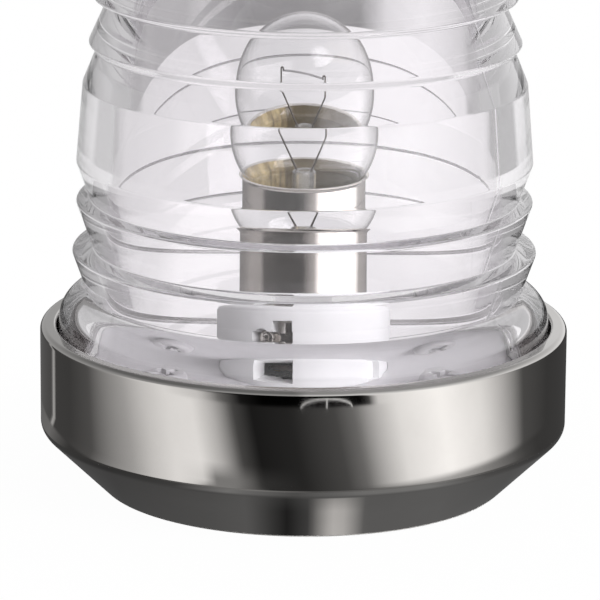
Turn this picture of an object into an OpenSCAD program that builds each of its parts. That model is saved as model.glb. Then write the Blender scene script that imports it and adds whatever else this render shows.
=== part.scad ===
// Masthead light: polished steel cup, clear prism lens that screws into it, and a bayonet bulb inside.
// Millimetres, +Z up, origin at the centre of the cup's flat foot. The front is -Y.

/* [Steel cup] */
// Outer diameter of the cup
base_d = 64.6; // [63:0.1:68]
// Height of the cup from foot to rim
base_h = 20; // [19.5:0.1:24]
// Diameter of the flat foot
foot_d = 49.6; // [47:0.1:52]
// Height at which the flared foot meets the upright wall
flare_h = 7.3; // [6:0.1:8]
// Thickness of the wall
cup_wall = 2; // [1.6:0.1:2.4]
// Thickness of the floor
floor_t = 2; // [1.6:0.1:2.4]
// Outside rounding between flare and wall
flare_round = 1.5; // [1:0.1:2.5]
// Outside rounding of the rim
rim_round = 0.7; // [0.3:0.1:1]
// Outside rounding of the foot's edge
foot_round = 0.5; // [0.2:0.1:1]

/* [Fixing to the mast] */
// Number of fixing holes in the floor
fixing_count = 3; // [3:1:3]
// Diameter of the fixing holes' circle
fixing_pcd = 36; // [34:0.1:40]
// Diameter of a fixing hole
fixing_hole_d = 4.4; // [3.4:0.1:5.5]
// Diameter of the cable hole in the rubber bush
cable_d = 6; // [4:0.1:7]
// Wall of the rubber bush round the cable
bush_wall = 1.8; // [1.2:0.1:2.4]
// Width of the bush's flange beyond its body
bush_flange_w = 2.4; // [1.5:0.1:3]
// Thickness of the bush's flange
bush_flange_t = 1.3; // [1:0.1:1.6]

/* [Carrier plate] */
// Thickness of the plate
carrier_t = 2; // [1.5:0.1:2.4]
// Diameter of a leg
leg_d = 7; // [6:0.1:7.6]
// Gap between a leg and the inner edge of the cup's floor
leg_inset = 1.5; // [1:0.1:2]
// Diameter of the carrier screws
carrier_screw_d = 3; // [2.5:0.1:3.5]
// Diameter of the carrier screws' heads
carrier_head_d = 5.5; // [4.5:0.1:6]
// Height of the carrier screws' heads
carrier_head_h = 1.8; // [1.2:0.1:2.2]

/* [Lens] */
// Running gap between lens skirt and cup
lens_gap = 0.3; // [0.2:0.05:0.4]
// Depth of the lens skirt inside the cup
skirt_depth = 3.9; // [3.4:0.1:4.2]
// Wall of the skirt
skirt_wall = 3.2; // [2.6:0.1:3.6]
// Height of the round bead above the rim
bead_h = 4.1; // [3.6:0.1:5]
// Upright height of the lens above the rim before the bead rounds in
bead_foot = 0.6; // [0.2:0.1:1.2]
// Height of the first rib's edge above the bead
first_rib_h = 5.3; // [4.8:0.1:5.8]
// How far the first rib's edge lies inside the skirt
rib_inset = 1.6; // [1.2:0.1:2.2]
// Spacing of the two lower ribs
low_pitch = 6.2; // [5.8:0.05:6.6]
// Height of the flank below the belly
low_flank_h = 4.8; // [4.4:0.1:5.2]
// Height of the plain belly
belly_h = 9.6; // [8:0.1:12]
// How far the belly stands out of the ribs' taper
belly_proud = 0.3; // [0:0.05:0.5]
// Height of the flank above the belly
high_flank_h = 5; // [4.6:0.1:5.6]
// Spacing of the two upper ribs
high_pitch = 5.6; // [5.2:0.05:6]
// Inward lean of the ribs' edges
lens_taper = 4.8; // [3:0.1:6]
// Slope of the prism faces below the belly
low_slope = 19.5; // [17:0.5:21]
// Slope of the flank above the belly
flank_slope = 22.5; // [20:0.5:24]
// Slope of the prism faces above that flank
high_slope = 24.5; // [22:0.5:26]
// Rise of the lower ribs' ledges towards the wall
low_rise = 0.35; // [0.1:0.05:0.6]
// Fall of the upper ribs' undersides towards the wall
high_rise = 0.8; // [0.4:0.05:1]
// Wall at the belly's middle, between belly and bore
belly_wall = 4; // [3.6:0.1:4.4]
// Draft of the bore
bore_draft = 2.5; // [2:0.1:3]
// Draft of the bore below the first rib
neck_draft = 8; // [6:0.5:10]
// Rounding of the ribs' edges
rib_round = 0.5; // [0.2:0.05:0.8]
// Height of the crown above the last prism
crown_h = 6.5; // [5:0.1:9]
// Thickness of the crown
crown_t = 3; // [2.4:0.1:3.6]
// Rise of the crown's dome from its rounded edge to the axis
crown_rise = 1; // [0.4:0.1:1.6]
// Width of the crown's rounded edge
crown_round = 5; // [3:0.1:7]
// Thickness of the seal under the skirt
seal_t = 1.5; // [1:0.1:2]
// Width of the seal
seal_w = 2.8; // [2:0.1:3]

/* [Lamp socket] */
// Height of the socket above the carrier plate
socket_rise = 15.5; // [14.5:0.1:17]
// Wall of the socket round the bulb cap
socket_wall = 2.65; // [2.2:0.05:3]
// Depth of the bayonet pins below the socket's top
pin_depth = 4.3; // [4:0.1:5]
// Angle of a locked pin, from the front to the right
pin_turn = -29; // [-40:1:-20]
// Turn from locked to released
release_turn = 15; // [14:0.5:18]
// Push that frees a pin from its seat
release_push = 1.9; // [1.9:0.05:2.2]
// Width of the entry groove beyond the pin
slot_play = 0.4; // [0.3:0.05:0.6]
// Height of the seat's tooth above the middle of the pin
tooth_h = 0.65; // [0.6:0.05:0.7]
// Height of the windows' foot below a locked pin
window_drop = 10.6; // [10:0.1:10.8]
// Height of the windows above a locked pin
window_rise = 2.1; // [1.6:0.1:2.6]
// Width of the moulding notch in the socket's side
notch_w = 2.5; // [1:0.1:3]
// Height of the moulding notch above the plate
notch_h = 6.5; // [4:0.1:8]
// Depth of the moulding notch
notch_depth = 1; // [0.6:0.1:1.4]
// Angle of the moulding notch, from the front to the right
notch_turn = 56; // [48:1:62]
// Widening of the socket's lower block
block_w = 2.9; // [2.6:0.1:3.2]
// Thickness of the socket's floor
socket_floor = 1.8; // [1.4:0.1:2.2]
// Diameter of the socket screws
socket_screw_d = 2.5; // [2:0.1:3]

/* [Contacts] */
// Distance of a contact from the axis
contact_r = 3.4; // [3.1:0.1:3.8]
// Diameter of a contact stud's head
stud_head_d = 3; // [2.4:0.1:3.4]
// Height of a contact stud's head
stud_head_h = 0.6; // [0.4:0.1:0.9]
// Diameter of a contact stud's stem
stud_d = 1.8; // [1.4:0.1:2]
// Length of a stud's stem below the disc
stud_drop = 2; // [1.4:0.1:2.4]
// Thickness of the contact disc
disc_t = 2; // [1.6:0.1:2.4]
// Length of a contact spring at rest
spring_len = 5.5; // [5:0.1:6]
// Diameter of the spring wire
spring_wire_d = 0.5; // [0.4:0.05:0.6]
// Gap between spring and stud
spring_gap = 0.35; // [0.25:0.05:0.5]
// Turns of a spring
spring_turns = 4.5; // [4:0.5:5]
// Thickness of the terminal strips
strip_t = 0.8; // [0.6:0.1:1]
// Width of the terminal strips
strip_w = 4; // [3.4:0.1:4.4]
// Diameter of the terminal screws
terminal_screw_d = 3; // [2.5:0.1:3]
// Diameter of the terminal screws' heads
terminal_head_d = 5; // [4.5:0.1:5.4]
// Height of the terminal screws' heads
terminal_head_h = 1.6; // [1.2:0.1:2]

/* [Bulb] */
// Outer diameter of the bulb cap
cap_d = 15.1; // [15:0.05:15.25]
// Length of the cap
cap_len = 19; // [18:0.1:20.5]
// Wall of the cap
cap_wall = 0.4; // [0.3:0.05:0.5]
// Outward flare of the cap's lip
lip_out = 0.55; // [0.5:0.05:0.6]
// Height of the pins above the foot of the cap
pin_height = 6.5; // [6.2:0.1:6.8]
// Diameter of the pins
pin_d = 1.9; // [1.8:0.05:2]
// Length of a pin outside the cap
pin_out = 1.35; // [1.1:0.05:1.5]
// Diameter of the glass globe
globe_d = 18.1; // [17.6:0.1:18.6]
// Wall of the glass
glass_wall = 0.5; // [0.4:0.05:0.9]
// Diameter of the glass neck inside the cap
neck_d = 13.2; // [13:0.1:13.4]
// Depth of the neck inside the cap
neck_depth = 7.2; // [6:0.1:8]
// Depth of the cement between neck and cap
cement_depth = 5.6; // [4:0.1:5.8]
// Height of the stem's top above the lip
stem_rise = 0.4; // [0.2:0.1:1]
// Diameter of the stem's bead
stem_d = 3; // [2.6:0.1:3.4]
// Height of the filament above the lip
filament_rise = 5.6; // [5:0.1:6.4]
// Half of the spread of the wires' hooks
filament_half = 3.1; // [2.6:0.1:3.5]
// Diameter of the wound filament
filament_d = 0.6; // [0.5:0.05:0.8]
// Diameter of the support wires
wire_d = 0.35; // [0.3:0.05:0.5]
// Turn of the filament about the bulb's axis
filament_turn = -22; // [-45:1:45]
// Thickness of the insulator in the foot of the cap
insulator_t = 1.6; // [1.2:0.1:2]
// Height of the solder contacts below the cap
solder_h = 0.7; // [0.5:0.1:0.9]

/* [Hidden] */
$fn = 64;
// Gap round pieces that are fitted together and stay still
seat_gap = 0.05;
// Running gap round the bulb cap and the contact disc
run_gap = 0.1;
// Extra length of a cut beyond the face that it opens
over = 1;
// Rounding of small free edges
edge_round = 0.3;
// Number of straight steps in a rounded corner of a profile
round_steps = 5;
// Number of sides of a wire and of rings in a turn of a spring
wire_sides = 6;
turn_rings = 8;

// Steel cup
base_r = base_d / 2;
foot_r = foot_d / 2;
cup_bore_r = base_r - cup_wall;
flare_angle = atan2(flare_h, base_r - foot_r);
inner_flare_h = (cup_bore_r - foot_r + cup_wall * sin(flare_angle)) * tan(flare_angle)
    + cup_wall * cos(flare_angle);
inner_floor_r = foot_r - cup_wall * sin(flare_angle)
    + (floor_t - cup_wall * cos(flare_angle)) / tan(flare_angle);
bush_r = cable_d / 2 + bush_wall;

// Carrier plate and the lens skirt above it
skirt_foot = base_h - skirt_depth;
carrier_top = skirt_foot - seal_t - 2 * seat_gap;
carrier_foot = carrier_top - carrier_t;
carrier_r = cup_bore_r - seat_gap;
leg_r = inner_floor_r - leg_inset - leg_d / 2;
leg_angles = [-30, -150, 90];
fixing_start = -90;

// Lamp socket
cap_r = cap_d / 2;
socket_bore_r = cap_r + run_gap;
socket_r = socket_bore_r + socket_wall;
socket_top = carrier_top + socket_rise;
pin_z = socket_top - pin_depth;
pin_angle = -90 + pin_turn;
entry_angle = pin_angle + release_turn;
contact_angle = pin_angle + 90;
slot_w = pin_d + slot_play;
seat_r = pin_d / 2 + run_gap;
pin_end_r = cap_r + pin_out;
groove_r = pin_end_r + 2 * run_gap;
window_foot = pin_z - window_drop;
block_r = socket_r + block_w;
ear_half_w = socket_screw_d + 0.8;
ear_angles = [pin_angle, pin_angle + 180];
socket_screw_r = block_r - socket_screw_d / 4;
socket_head_d = 2 * socket_screw_d;
socket_head_h = 0.6 * socket_screw_d;

// Contacts, from the bulb cap down
cap_foot = pin_z - pin_height;
stud_top = cap_foot - solder_h - seat_gap;
disc_top = stud_top - stud_head_h;
disc_foot = disc_top - disc_t;
rivet_h = 0.5;
rivet_top = disc_foot - spring_len;
socket_inside = rivet_top - rivet_h;
socket_foot = socket_inside - socket_floor;
stud_r = stud_d / 2;
spring_r = stud_r + spring_gap + spring_wire_d / 2;
strip_inner_r = contact_r - spring_r;
terminal_r = block_r - terminal_head_d / 2;

// Bulb
cap_lip = cap_foot + cap_len;
cap_bore_r = cap_r - cap_wall;
globe_r = globe_d / 2;
neck_r = neck_d / 2;
lip_bore_r = cap_bore_r + 0.8 * lip_out;
globe_z = cap_lip + sqrt(pow(globe_r, 2) - pow(lip_bore_r - 2 * seat_gap, 2));
globe_foot = globe_z - sqrt(pow(globe_r, 2) - pow(neck_r, 2));
neck_foot = cap_lip - neck_depth;
stem_top = cap_lip + stem_rise;
stem_r = stem_d / 2;
lead_r = 0.6;
filament_z = cap_lip + filament_rise;
hook_h = 1.1;

// Lens
skirt_r = cup_bore_r - lens_gap;
skirt_bore_r = skirt_r - skirt_wall;
neck_z = base_h + bead_h;
first_rib_z = neck_z + first_rib_h;
second_rib_z = first_rib_z + low_pitch;
belly_foot = second_rib_z + low_flank_h;
belly_top = belly_foot + belly_h;
third_rib_z = belly_top + high_flank_h;
fourth_rib_z = third_rib_z + high_pitch;
crown_foot = fourth_rib_z + high_pitch - high_rise;
belly_mid = (belly_foot + belly_top) / 2;
lens_bore_mid = rib_edge(belly_mid) + belly_proud - belly_wall;

// Radius of the ribs' tapering outline and of the bore at a height
function rib_edge(z) = skirt_r - rib_inset - (z - first_rib_z) * tan(lens_taper);
function lens_bore(z) = lens_bore_mid - (z - belly_mid) * tan(bore_draft);

// A profile's corners [x, y, radius] turned into points, with straight steps round each radius
function unit(v) = v / norm(v);
function turned(v, a) = [v.x * cos(a) - v.y * sin(a), v.x * sin(a) + v.y * cos(a)];
function flat(p) = [p.x, p.y];
function reverse(points) = [for (i = [len(points) - 1 : -1 : 0]) points[i]];
function corner(a, b, c, r) =
    r <= 0 ? [b] :
    let (
        u = unit(a - b),
        w = unit(c - b),
        half = acos(u * w) / 2,
        reach = min(r / tan(half), 0.49 * norm(a - b), 0.49 * norm(c - b)),
        centre = b + unit(u + w) * reach / cos(half),
        start = b + u * reach - centre,
        side = cross(start, b + w * reach - centre) > 0 ? 1 : -1,
        sweep = side * (180 - 2 * half)
    )
    [for (i = [0 : round_steps]) centre + turned(start, sweep * i / round_steps)];
function rounded(points) =
    let (n = len(points))
    [for (i = [0 : n - 1])
        each corner(flat(points[(i + n - 1) % n]), flat(points[i]), flat(points[(i + 1) % n]), points[i].z)];

// A wire along a list of points, with rings square to its run and flat ends
function run_at(path, i) =
    unit(path[min(i + 1, len(path) - 1)] - path[max(i - 1, 0)]);
function ring_at(path, r, i) =
    let (
        run = run_at(path, i),
        aside = unit(cross(run, abs(run.z) > 0.9 ? [1, 0, 0] : [0, 0, 1])),
        up = cross(aside, run)
    )
    [for (k = [0 : wire_sides - 1])
        path[i] + r * (aside * cos(360 * k / wire_sides) + up * sin(360 * k / wire_sides))];
module wire(path, r) {
    last = len(path) - 1;
    points = [for (i = [0 : last]) each ring_at(path, r, i)];
    sides = [for (i = [0 : last - 1], k = [0 : wire_sides - 1])
        let (
            a = i * wire_sides + k,
            b = i * wire_sides + (k + 1) % wire_sides
        )
        each [[a, b, b + wire_sides], [a, b + wire_sides, a + wire_sides]]];
    foot = [for (k = [1 : wire_sides - 2]) [0, k + 1, k]];
    head = [for (k = [1 : wire_sides - 2])
        [last * wire_sides, last * wire_sides + k, last * wire_sides + k + 1]];
    polyhedron(points, concat(sides, foot, head));
}

// A pan-head screw, head up, with its shank below z = 0
module pan_screw(d, len, head_d, head_h) {
    round_edge = head_h * 0.45;
    rotate_extrude()
        polygon(rounded([
            [0, -len, 0], [d / 2, -len, 0], [d / 2, 0, 0],
            [head_d / 2, 0, 0], [head_d / 2, head_h, round_edge], [0, head_h, 0]
        ]));
}

module base_cup() {
    inner_round = max(flare_round - cup_wall, 0.5);
    color([0.56, 0.55, 0.54])
        difference() {
            rotate_extrude($fn = 128)
                polygon(rounded([
                    [0, 0, 0], [foot_r, 0, foot_round], [base_r, flare_h, flare_round],
                    [base_r, base_h, rim_round], [cup_bore_r, base_h, rim_round / 2],
                    [cup_bore_r, inner_flare_h, inner_round], [inner_floor_r, floor_t, inner_round / 2],
                    [0, floor_t, 0]
                ]));
            translate([0, 0, -over])
                cylinder(r = bush_r + seat_gap, h = floor_t + 2 * over);
            for (i = [0 : fixing_count - 1])
                rotate(fixing_start + 360 * i / fixing_count)
                    translate([fixing_pcd / 2, 0, -over])
                        cylinder(d = fixing_hole_d, h = floor_t + 2 * over);
            for (a = leg_angles)
                rotate(a)
                    translate([leg_r, 0, -over])
                        cylinder(d = carrier_screw_d + 2 * seat_gap, h = floor_t + 2 * over);
        }
}

module cable_bush() {
    flange_r = bush_r + bush_flange_w;
    flange_top = floor_t + bush_flange_t;
    color([0.13, 0.13, 0.14])
        rotate_extrude()
            polygon(rounded([
                [cable_d / 2, 0, 0], [bush_r, 0, 0], [bush_r, floor_t, 0],
                [flange_r, floor_t, 0], [flange_r, flange_top, bush_flange_t / 2],
                [cable_d / 2, flange_top, 0]
            ]));
}

module carrier_plate() {
    edge_round = carrier_t / 4;
    color([0.93, 0.93, 0.92])
        difference() {
            union() {
                rotate_extrude($fn = 128)
                    polygon(rounded([
                        [0, carrier_foot, 0], [carrier_r, carrier_foot, edge_round],
                        [carrier_r, carrier_top, edge_round], [0, carrier_top, 0]
                    ]));
                for (a = leg_angles)
                    rotate(a)
                        translate([leg_r, 0, floor_t])
                            cylinder(d = leg_d, h = carrier_foot + carrier_t / 2 - floor_t);
            }
            translate([0, 0, carrier_foot - over])
                cylinder(r = socket_r + seat_gap, h = carrier_t + 2 * over);
            for (a = leg_angles)
                rotate(a)
                    translate([leg_r, 0, floor_t - over])
                        cylinder(d = carrier_screw_d + 2 * seat_gap, h = carrier_top - floor_t + 2 * over);
            for (a = ear_angles)
                rotate(a)
                    translate([socket_screw_r, 0, carrier_foot - over])
                        cylinder(d = socket_screw_d + 2 * seat_gap, h = over + carrier_t * 0.75);
        }
}

module carrier_screws() {
    color([0.75, 0.75, 0.76])
        for (a = leg_angles)
            rotate(a)
                translate([leg_r, 0, carrier_top])
                    pan_screw(carrier_screw_d, carrier_top - floor_t / 4, carrier_head_d, carrier_head_h);
}

// Bayonet track in the socket's wall: entry groove, window, and the pin's seat behind its tooth
module bayonet_track() {
    reach = block_r;
    left = seat_r + 2 * seat_gap;
    right = slot_w / 2 + 2 * seat_gap;
    translate([0, 0, window_foot])
        linear_extrude(window_drop + tooth_h)
            polygon([
                turned([0, -left], pin_angle), turned([reach, -left], pin_angle),
                turned([reach, right], entry_angle), turned([0, right], entry_angle)
            ]);
    rotate(entry_angle)
        translate([0, slot_w / 2, 0])
            rotate([90, 0, 0])
                linear_extrude(slot_w)
                    polygon([
                        [0, pin_z], [reach, pin_z], [reach, pin_z + window_rise],
                        [groove_r, pin_z + window_rise], [groove_r, socket_top + over], [0, socket_top + over]
                    ]);
    rotate(pin_angle)
        translate([0, 0, pin_z])
            rotate([0, 90, 0])
                cylinder(r = seat_r, h = reach);
}

module lamp_socket() {
    top_round = 0.6;
    color([0.95, 0.95, 0.94])
        difference() {
            union() {
                rotate_extrude($fn = 96)
                    polygon(rounded([
                        [0, socket_foot, 0], [block_r, socket_foot, top_round],
                        [block_r, carrier_foot, 0], [socket_r, carrier_foot, 0],
                        [socket_r, socket_top, top_round], [socket_bore_r, socket_top, top_round],
                        [socket_bore_r, socket_inside, 0], [0, socket_inside, 0]
                    ]));
                for (a = ear_angles)
                    rotate(a)
                        translate([0, 0, carrier_foot - carrier_t])
                            linear_extrude(carrier_t - 2 * seat_gap) {
                                translate([socket_screw_r, 0])
                                    circle(ear_half_w);
                                translate([socket_r, -ear_half_w])
                                    square([socket_screw_r - socket_r, 2 * ear_half_w]);
                            }
            }
            for (side = [0, 180])
                rotate(side)
                    bayonet_track();
            rotate(-90 + notch_turn)
                translate([socket_r - notch_depth, -notch_w / 2, carrier_top])
                    cube([notch_depth + over, notch_w, notch_h]);
            for (side = [0, 180])
                rotate(contact_angle + side) {
                    translate([contact_r, 0, socket_foot - over])
                        cylinder(r = stud_r + seat_gap, h = socket_floor + 2 * over);
                    translate([terminal_r, 0, socket_foot - over])
                        cylinder(d = terminal_screw_d + 2 * seat_gap, h = over + socket_floor * 2);
                }
            for (a = ear_angles)
                rotate(a)
                    translate([socket_screw_r, 0, socket_foot - over]) {
                        cylinder(d = socket_screw_d + 2 * seat_gap, h = carrier_top - socket_foot);
                        cylinder(d = socket_head_d + 4 * seat_gap, h = carrier_foot - carrier_t - socket_foot + over);
                    }
        }
}

module socket_screws() {
    shank = carrier_t * 1.6;
    color([0.75, 0.75, 0.76])
        for (a = ear_angles)
            rotate(a)
                translate([socket_screw_r, 0, carrier_foot - carrier_t])
                    rotate([180, 0, 0])
                        pan_screw(socket_screw_d, shank, socket_head_d, socket_head_h);
}

// A terminal strip under the socket, with the rivet that carries the spring
module terminal_strips() {
    strip_foot = socket_foot - strip_t;
    color([0.72, 0.58, 0.28])
        for (side = [0, 180])
            rotate(contact_angle + side)
                difference() {
                    union() {
                        translate([strip_inner_r, -strip_w / 2, strip_foot])
                            cube([block_r - strip_inner_r, strip_w, strip_t]);
                        translate([contact_r, 0, strip_foot])
                            cylinder(r = stud_r, h = rivet_top - strip_foot);
                        translate([contact_r, 0, socket_inside])
                            cylinder(r = spring_r + spring_wire_d, h = rivet_h);
                    }
                    translate([terminal_r, 0, strip_foot - over])
                        cylinder(d = terminal_screw_d + 2 * seat_gap, h = strip_t + 2 * over);
                }
}

module terminal_screws() {
    shank = strip_t + socket_floor * 1.8;
    color([0.75, 0.75, 0.76])
        for (side = [0, 180])
            rotate(contact_angle + side)
                translate([terminal_r, 0, socket_foot - strip_t])
                    rotate([180, 0, 0])
                        pan_screw(terminal_screw_d, shank, terminal_head_d, terminal_head_h);
}

// Points of a contact spring's wire, turn by turn from the rivet up to the disc
function spring_path() =
    let (
        low = rivet_top + seat_gap + spring_wire_d / 2,
        high = disc_foot - seat_gap - spring_wire_d / 2,
        steps = spring_turns * turn_rings
    )
    [for (i = [0 : steps])
        [spring_r * cos(360 * i / turn_rings), spring_r * sin(360 * i / turn_rings),
            low + (high - low) * i / steps]];
// Least gap between one turn and the next, measured on the points
function spring_self_gap(path) =
    min([for (i = [0 : len(path) - 1 - turn_rings]) norm(path[i + turn_rings] - path[i])]) - spring_wire_d;

module contact_springs() {
    path = spring_path();
    echo(least_spring_gap = spring_self_gap(path));
    color([0.7, 0.7, 0.72])
        for (side = [0, 180])
            rotate(contact_angle + side)
                translate([contact_r, 0, 0])
                    wire(path, spring_wire_d / 2);
}

module contact_disc() {
    edge_round = disc_t / 5;
    color([0.35, 0.22, 0.15])
        difference() {
            rotate_extrude()
                polygon(rounded([
                    [0, disc_foot, 0], [socket_bore_r - run_gap, disc_foot, edge_round],
                    [socket_bore_r - run_gap, disc_top, edge_round], [0, disc_top, 0]
                ]));
            for (side = [0, 180])
                rotate(contact_angle + side)
                    translate([contact_r, 0, disc_foot - over])
                        cylinder(r = stud_r + seat_gap, h = disc_t + 2 * over);
        }
}

module contact_studs() {
    color([0.72, 0.58, 0.28])
        for (side = [0, 180])
            rotate(contact_angle + side)
                translate([contact_r, 0, disc_top])
                    rotate_extrude()
                        polygon(rounded([
                            [0, -disc_t - stud_drop, 0], [stud_r, -disc_t - stud_drop, 0.3],
                            [stud_r, 0, 0], [stud_head_d / 2, 0, 0],
                            [stud_head_d / 2, stud_head_h, stud_head_h / 2], [0, stud_head_h, 0]
                        ]));
}

module lens_seal() {
    seal_foot = carrier_top + seat_gap;
    outer_r = skirt_r - seat_gap;
    edge_round = seal_t / 5;
    color([0.85, 0.85, 0.84])
        rotate_extrude($fn = 128)
            polygon(rounded([
                [outer_r - seal_w, seal_foot, edge_round], [outer_r, seal_foot, edge_round],
                [outer_r, seal_foot + seal_t, edge_round], [outer_r - seal_w, seal_foot + seal_t, edge_round]
            ]));
}

// The shallow dome from a radius up to the axis, without its first point
function dome(r, top, rise) =
    let (
        steps = 6,
        ball_r = (r * r + rise * rise) / (2 * rise)
    )
    [for (i = [1 : steps])
        let (x = r * (1 - i / steps))
        [x, top - ball_r + sqrt(ball_r * ball_r - x * x), 0]];

// A quarter of an ellipse as profile points, from its side up to its top
function quarter_round(centre, half_w, half_h, steps) =
    [for (i = [0 : steps])
        let (a = 90 * i / steps)
        [centre.x + half_w * cos(a), centre.y + half_h * sin(a), 0]];

// Profile of the lens: bead, two falling prisms, belly, two rising prisms and crown, then the bore
function lens_profile() =
    let (
        fall = tan(low_slope),
        flank_fall = tan(flank_slope),
        high_fall = tan(high_slope),
        first_r = rib_edge(first_rib_z),
        second_r = rib_edge(second_rib_z),
        third_r = rib_edge(third_rib_z),
        fourth_r = rib_edge(fourth_rib_z),
        low_r = rib_edge(belly_foot) + belly_proud,
        high_r = rib_edge(belly_top) + belly_proud,
        bead_top_r = first_r - first_rib_h * fall,
        crown_r = fourth_r - (crown_foot - fourth_rib_z) * high_fall,
        neck_bore_r = lens_bore(first_rib_z) + first_rib_h * tan(neck_draft),
        crown_bore_r = lens_bore(crown_foot),
        crown_bore_h = crown_h - crown_t,
        bead = quarter_round([bead_top_r, base_h + bead_foot], skirt_r - bead_top_r, bead_h - bead_foot, 8),
        crown = quarter_round([crown_r - crown_round, crown_foot], crown_round, crown_h - crown_rise, 8),
        hollow = quarter_round([crown_bore_r - crown_bore_h, crown_foot], crown_bore_h, crown_bore_h - crown_rise, 8)
    )
    concat(
        [[skirt_bore_r, skirt_foot, edge_round], [skirt_r, skirt_foot, edge_round]],
        bead,
        [
            [first_r, first_rib_z, rib_round],
            [second_r - (low_pitch - low_rise) * fall, first_rib_z + low_rise, rib_round / 2],
            [second_r, second_rib_z, rib_round],
            [low_r - (low_flank_h - low_rise) * fall, second_rib_z + low_rise, rib_round / 2],
            [low_r, belly_foot, 2 * rib_round],
            [high_r, belly_top, 2 * rib_round],
            [high_r - (high_flank_h - high_rise) * flank_fall, third_rib_z - high_rise, rib_round],
            [third_r, third_rib_z, rib_round],
            [third_r - (high_pitch - high_rise) * high_fall, fourth_rib_z - high_rise, rib_round],
            [fourth_r, fourth_rib_z, rib_round]
        ],
        crown,
        dome(crown_r - crown_round, crown_foot + crown_h, crown_rise),
        reverse(dome(crown_bore_r - crown_bore_h, crown_foot + crown_bore_h, crown_rise)),
        reverse(hollow),
        [
            [lens_bore(first_rib_z), first_rib_z, first_rib_h],
            [neck_bore_r, neck_z, bead_h / 2],
            [skirt_bore_r, base_h + bead_foot, bead_h / 2]
        ]
    );

module lens() {
    color([0.9, 0.9, 0.94, 0.4])
        rotate_extrude($fn = 128)
            polygon(rounded(lens_profile()));
}

// Globe of the bulb at a radius, cut at the neck, drawn upwards from the neck
function globe_arc(r, cut_r, steps) =
    let (start = -acos(cut_r / r))
    [for (i = [0 : steps])
        let (a = start + (90 - start) * i / steps)
        [r * cos(a), globe_z + r * sin(a)]];

module bulb_glass() {
    steps = 20;
    inner_r = globe_r - glass_wall;
    inner_neck_r = neck_r - glass_wall;
    outer = globe_arc(globe_r, neck_r, steps);
    inner = globe_arc(inner_r, inner_neck_r, steps);
    color([0.95, 0.95, 0.95, 0.3])
        rotate_extrude()
            polygon(concat(
                [[inner_neck_r, neck_foot], [neck_r, neck_foot]],
                outer,
                [for (i = [steps : -1 : 0]) inner[i]]
            ));
}

module bulb_cap() {
    lip_h = lip_out + cap_wall;
    foot_in = 1.9;
    color([0.72, 0.71, 0.7])
        difference() {
            rotate_extrude($fn = 96)
                polygon(rounded([
                    [cap_r - foot_in, cap_foot, 0], [cap_r, cap_foot, 1.2], [cap_r, cap_lip - lip_h, 0.6],
                    [cap_r + lip_out, cap_lip, 0], [lip_bore_r, cap_lip, 0],
                    [cap_bore_r, cap_lip - lip_h, 0.3], [cap_bore_r, cap_foot + cap_wall, 0.9],
                    [cap_r - foot_in, cap_foot + cap_wall, 0]
                ]));
            for (side = [0, 180])
                rotate(pin_angle + side)
                    translate([0, 0, pin_z])
                        rotate([0, 90, 0])
                            cylinder(d = pin_d + 2 * seat_gap, h = cap_r + over);
        }
}

module bayonet_pins() {
    inside = cap_bore_r - 0.3;
    color([0.68, 0.66, 0.63])
        for (side = [0, 180])
            rotate(pin_angle + side)
                translate([inside, 0, pin_z])
                    rotate([0, 90, 0])
                        rotate_extrude($fn = 32)
                            polygon(rounded([
                                [0, 0, 0], [pin_d / 2, 0, 0],
                                [pin_d / 2, pin_end_r - inside, 0.25], [0, pin_end_r - inside, 0]
                            ]));
}

module basing_cement() {
    cement_top = globe_foot - 2 * seat_gap;
    color([0.52, 0.38, 0.22])
        rotate_extrude()
            polygon([
                [neck_r + seat_gap, cement_top - cement_depth], [cap_bore_r - seat_gap, cement_top - cement_depth],
                [cap_bore_r - seat_gap, cement_top], [neck_r + seat_gap, cement_top]
            ]);
}

module glass_stem() {
    flare_r = neck_r - glass_wall - seat_gap;
    flare_t = 0.9;
    shoulder = neck_foot + 2.4;
    color([0.9, 0.92, 0.92, 0.4])
        difference() {
            rotate_extrude()
                polygon(rounded([
                    [0, shoulder - flare_t, 0], [stem_r, shoulder - flare_t, 1], [flare_r - flare_t, neck_foot, 0],
                    [flare_r, neck_foot, 0], [stem_r, shoulder, 1.4], [stem_r, stem_top, stem_r * 0.8],
                    [0, stem_top, 0]
                ]));
            for (side = [-1, 1])
                rotate(filament_turn)
                    translate([side * lead_r, 0, neck_foot - over])
                        cylinder(d = wire_d + 4 * seat_gap, h = stem_top - neck_foot + 2 * over, $fn = 24);
        }
}

// Course of a lead: from its contact up through the stem, out to its hook under the filament's end
function polar(r, a, z) = [r * cos(a), r * sin(a), z];
function lead_path(side) =
    let (
        low = contact_angle + side,
        high = filament_turn + side
    )
    [
        polar(contact_r, low, cap_foot + insulator_t + seat_gap),
        polar(contact_r, low, cap_foot + pin_height),
        polar(lead_r, high, neck_foot),
        polar(lead_r, high, neck_foot + 1),
        polar(lead_r, high, stem_top + stem_d / 8),
        polar(filament_half, high, filament_z - hook_h),
        polar(filament_half, high, filament_z - filament_d / 2 - seat_gap)
    ];

module support_wires() {
    color([0.45, 0.42, 0.4])
        for (side = [0, 180])
            wire(lead_path(side), wire_d / 2);
}

// The wound filament as one thin bowed rod between the hooks
module filament() {
    bow = 0.7;
    steps = 8;
    reach = filament_half + wire_d;
    path = [for (i = [0 : steps])
        let (t = 2 * i / steps - 1)
        [t * reach, 0, filament_z + bow * (1 - t * t) * (1 - abs(t))]];
    color([0.4, 0.38, 0.36])
        rotate(filament_turn)
            wire(path, filament_d / 2);
}

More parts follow.
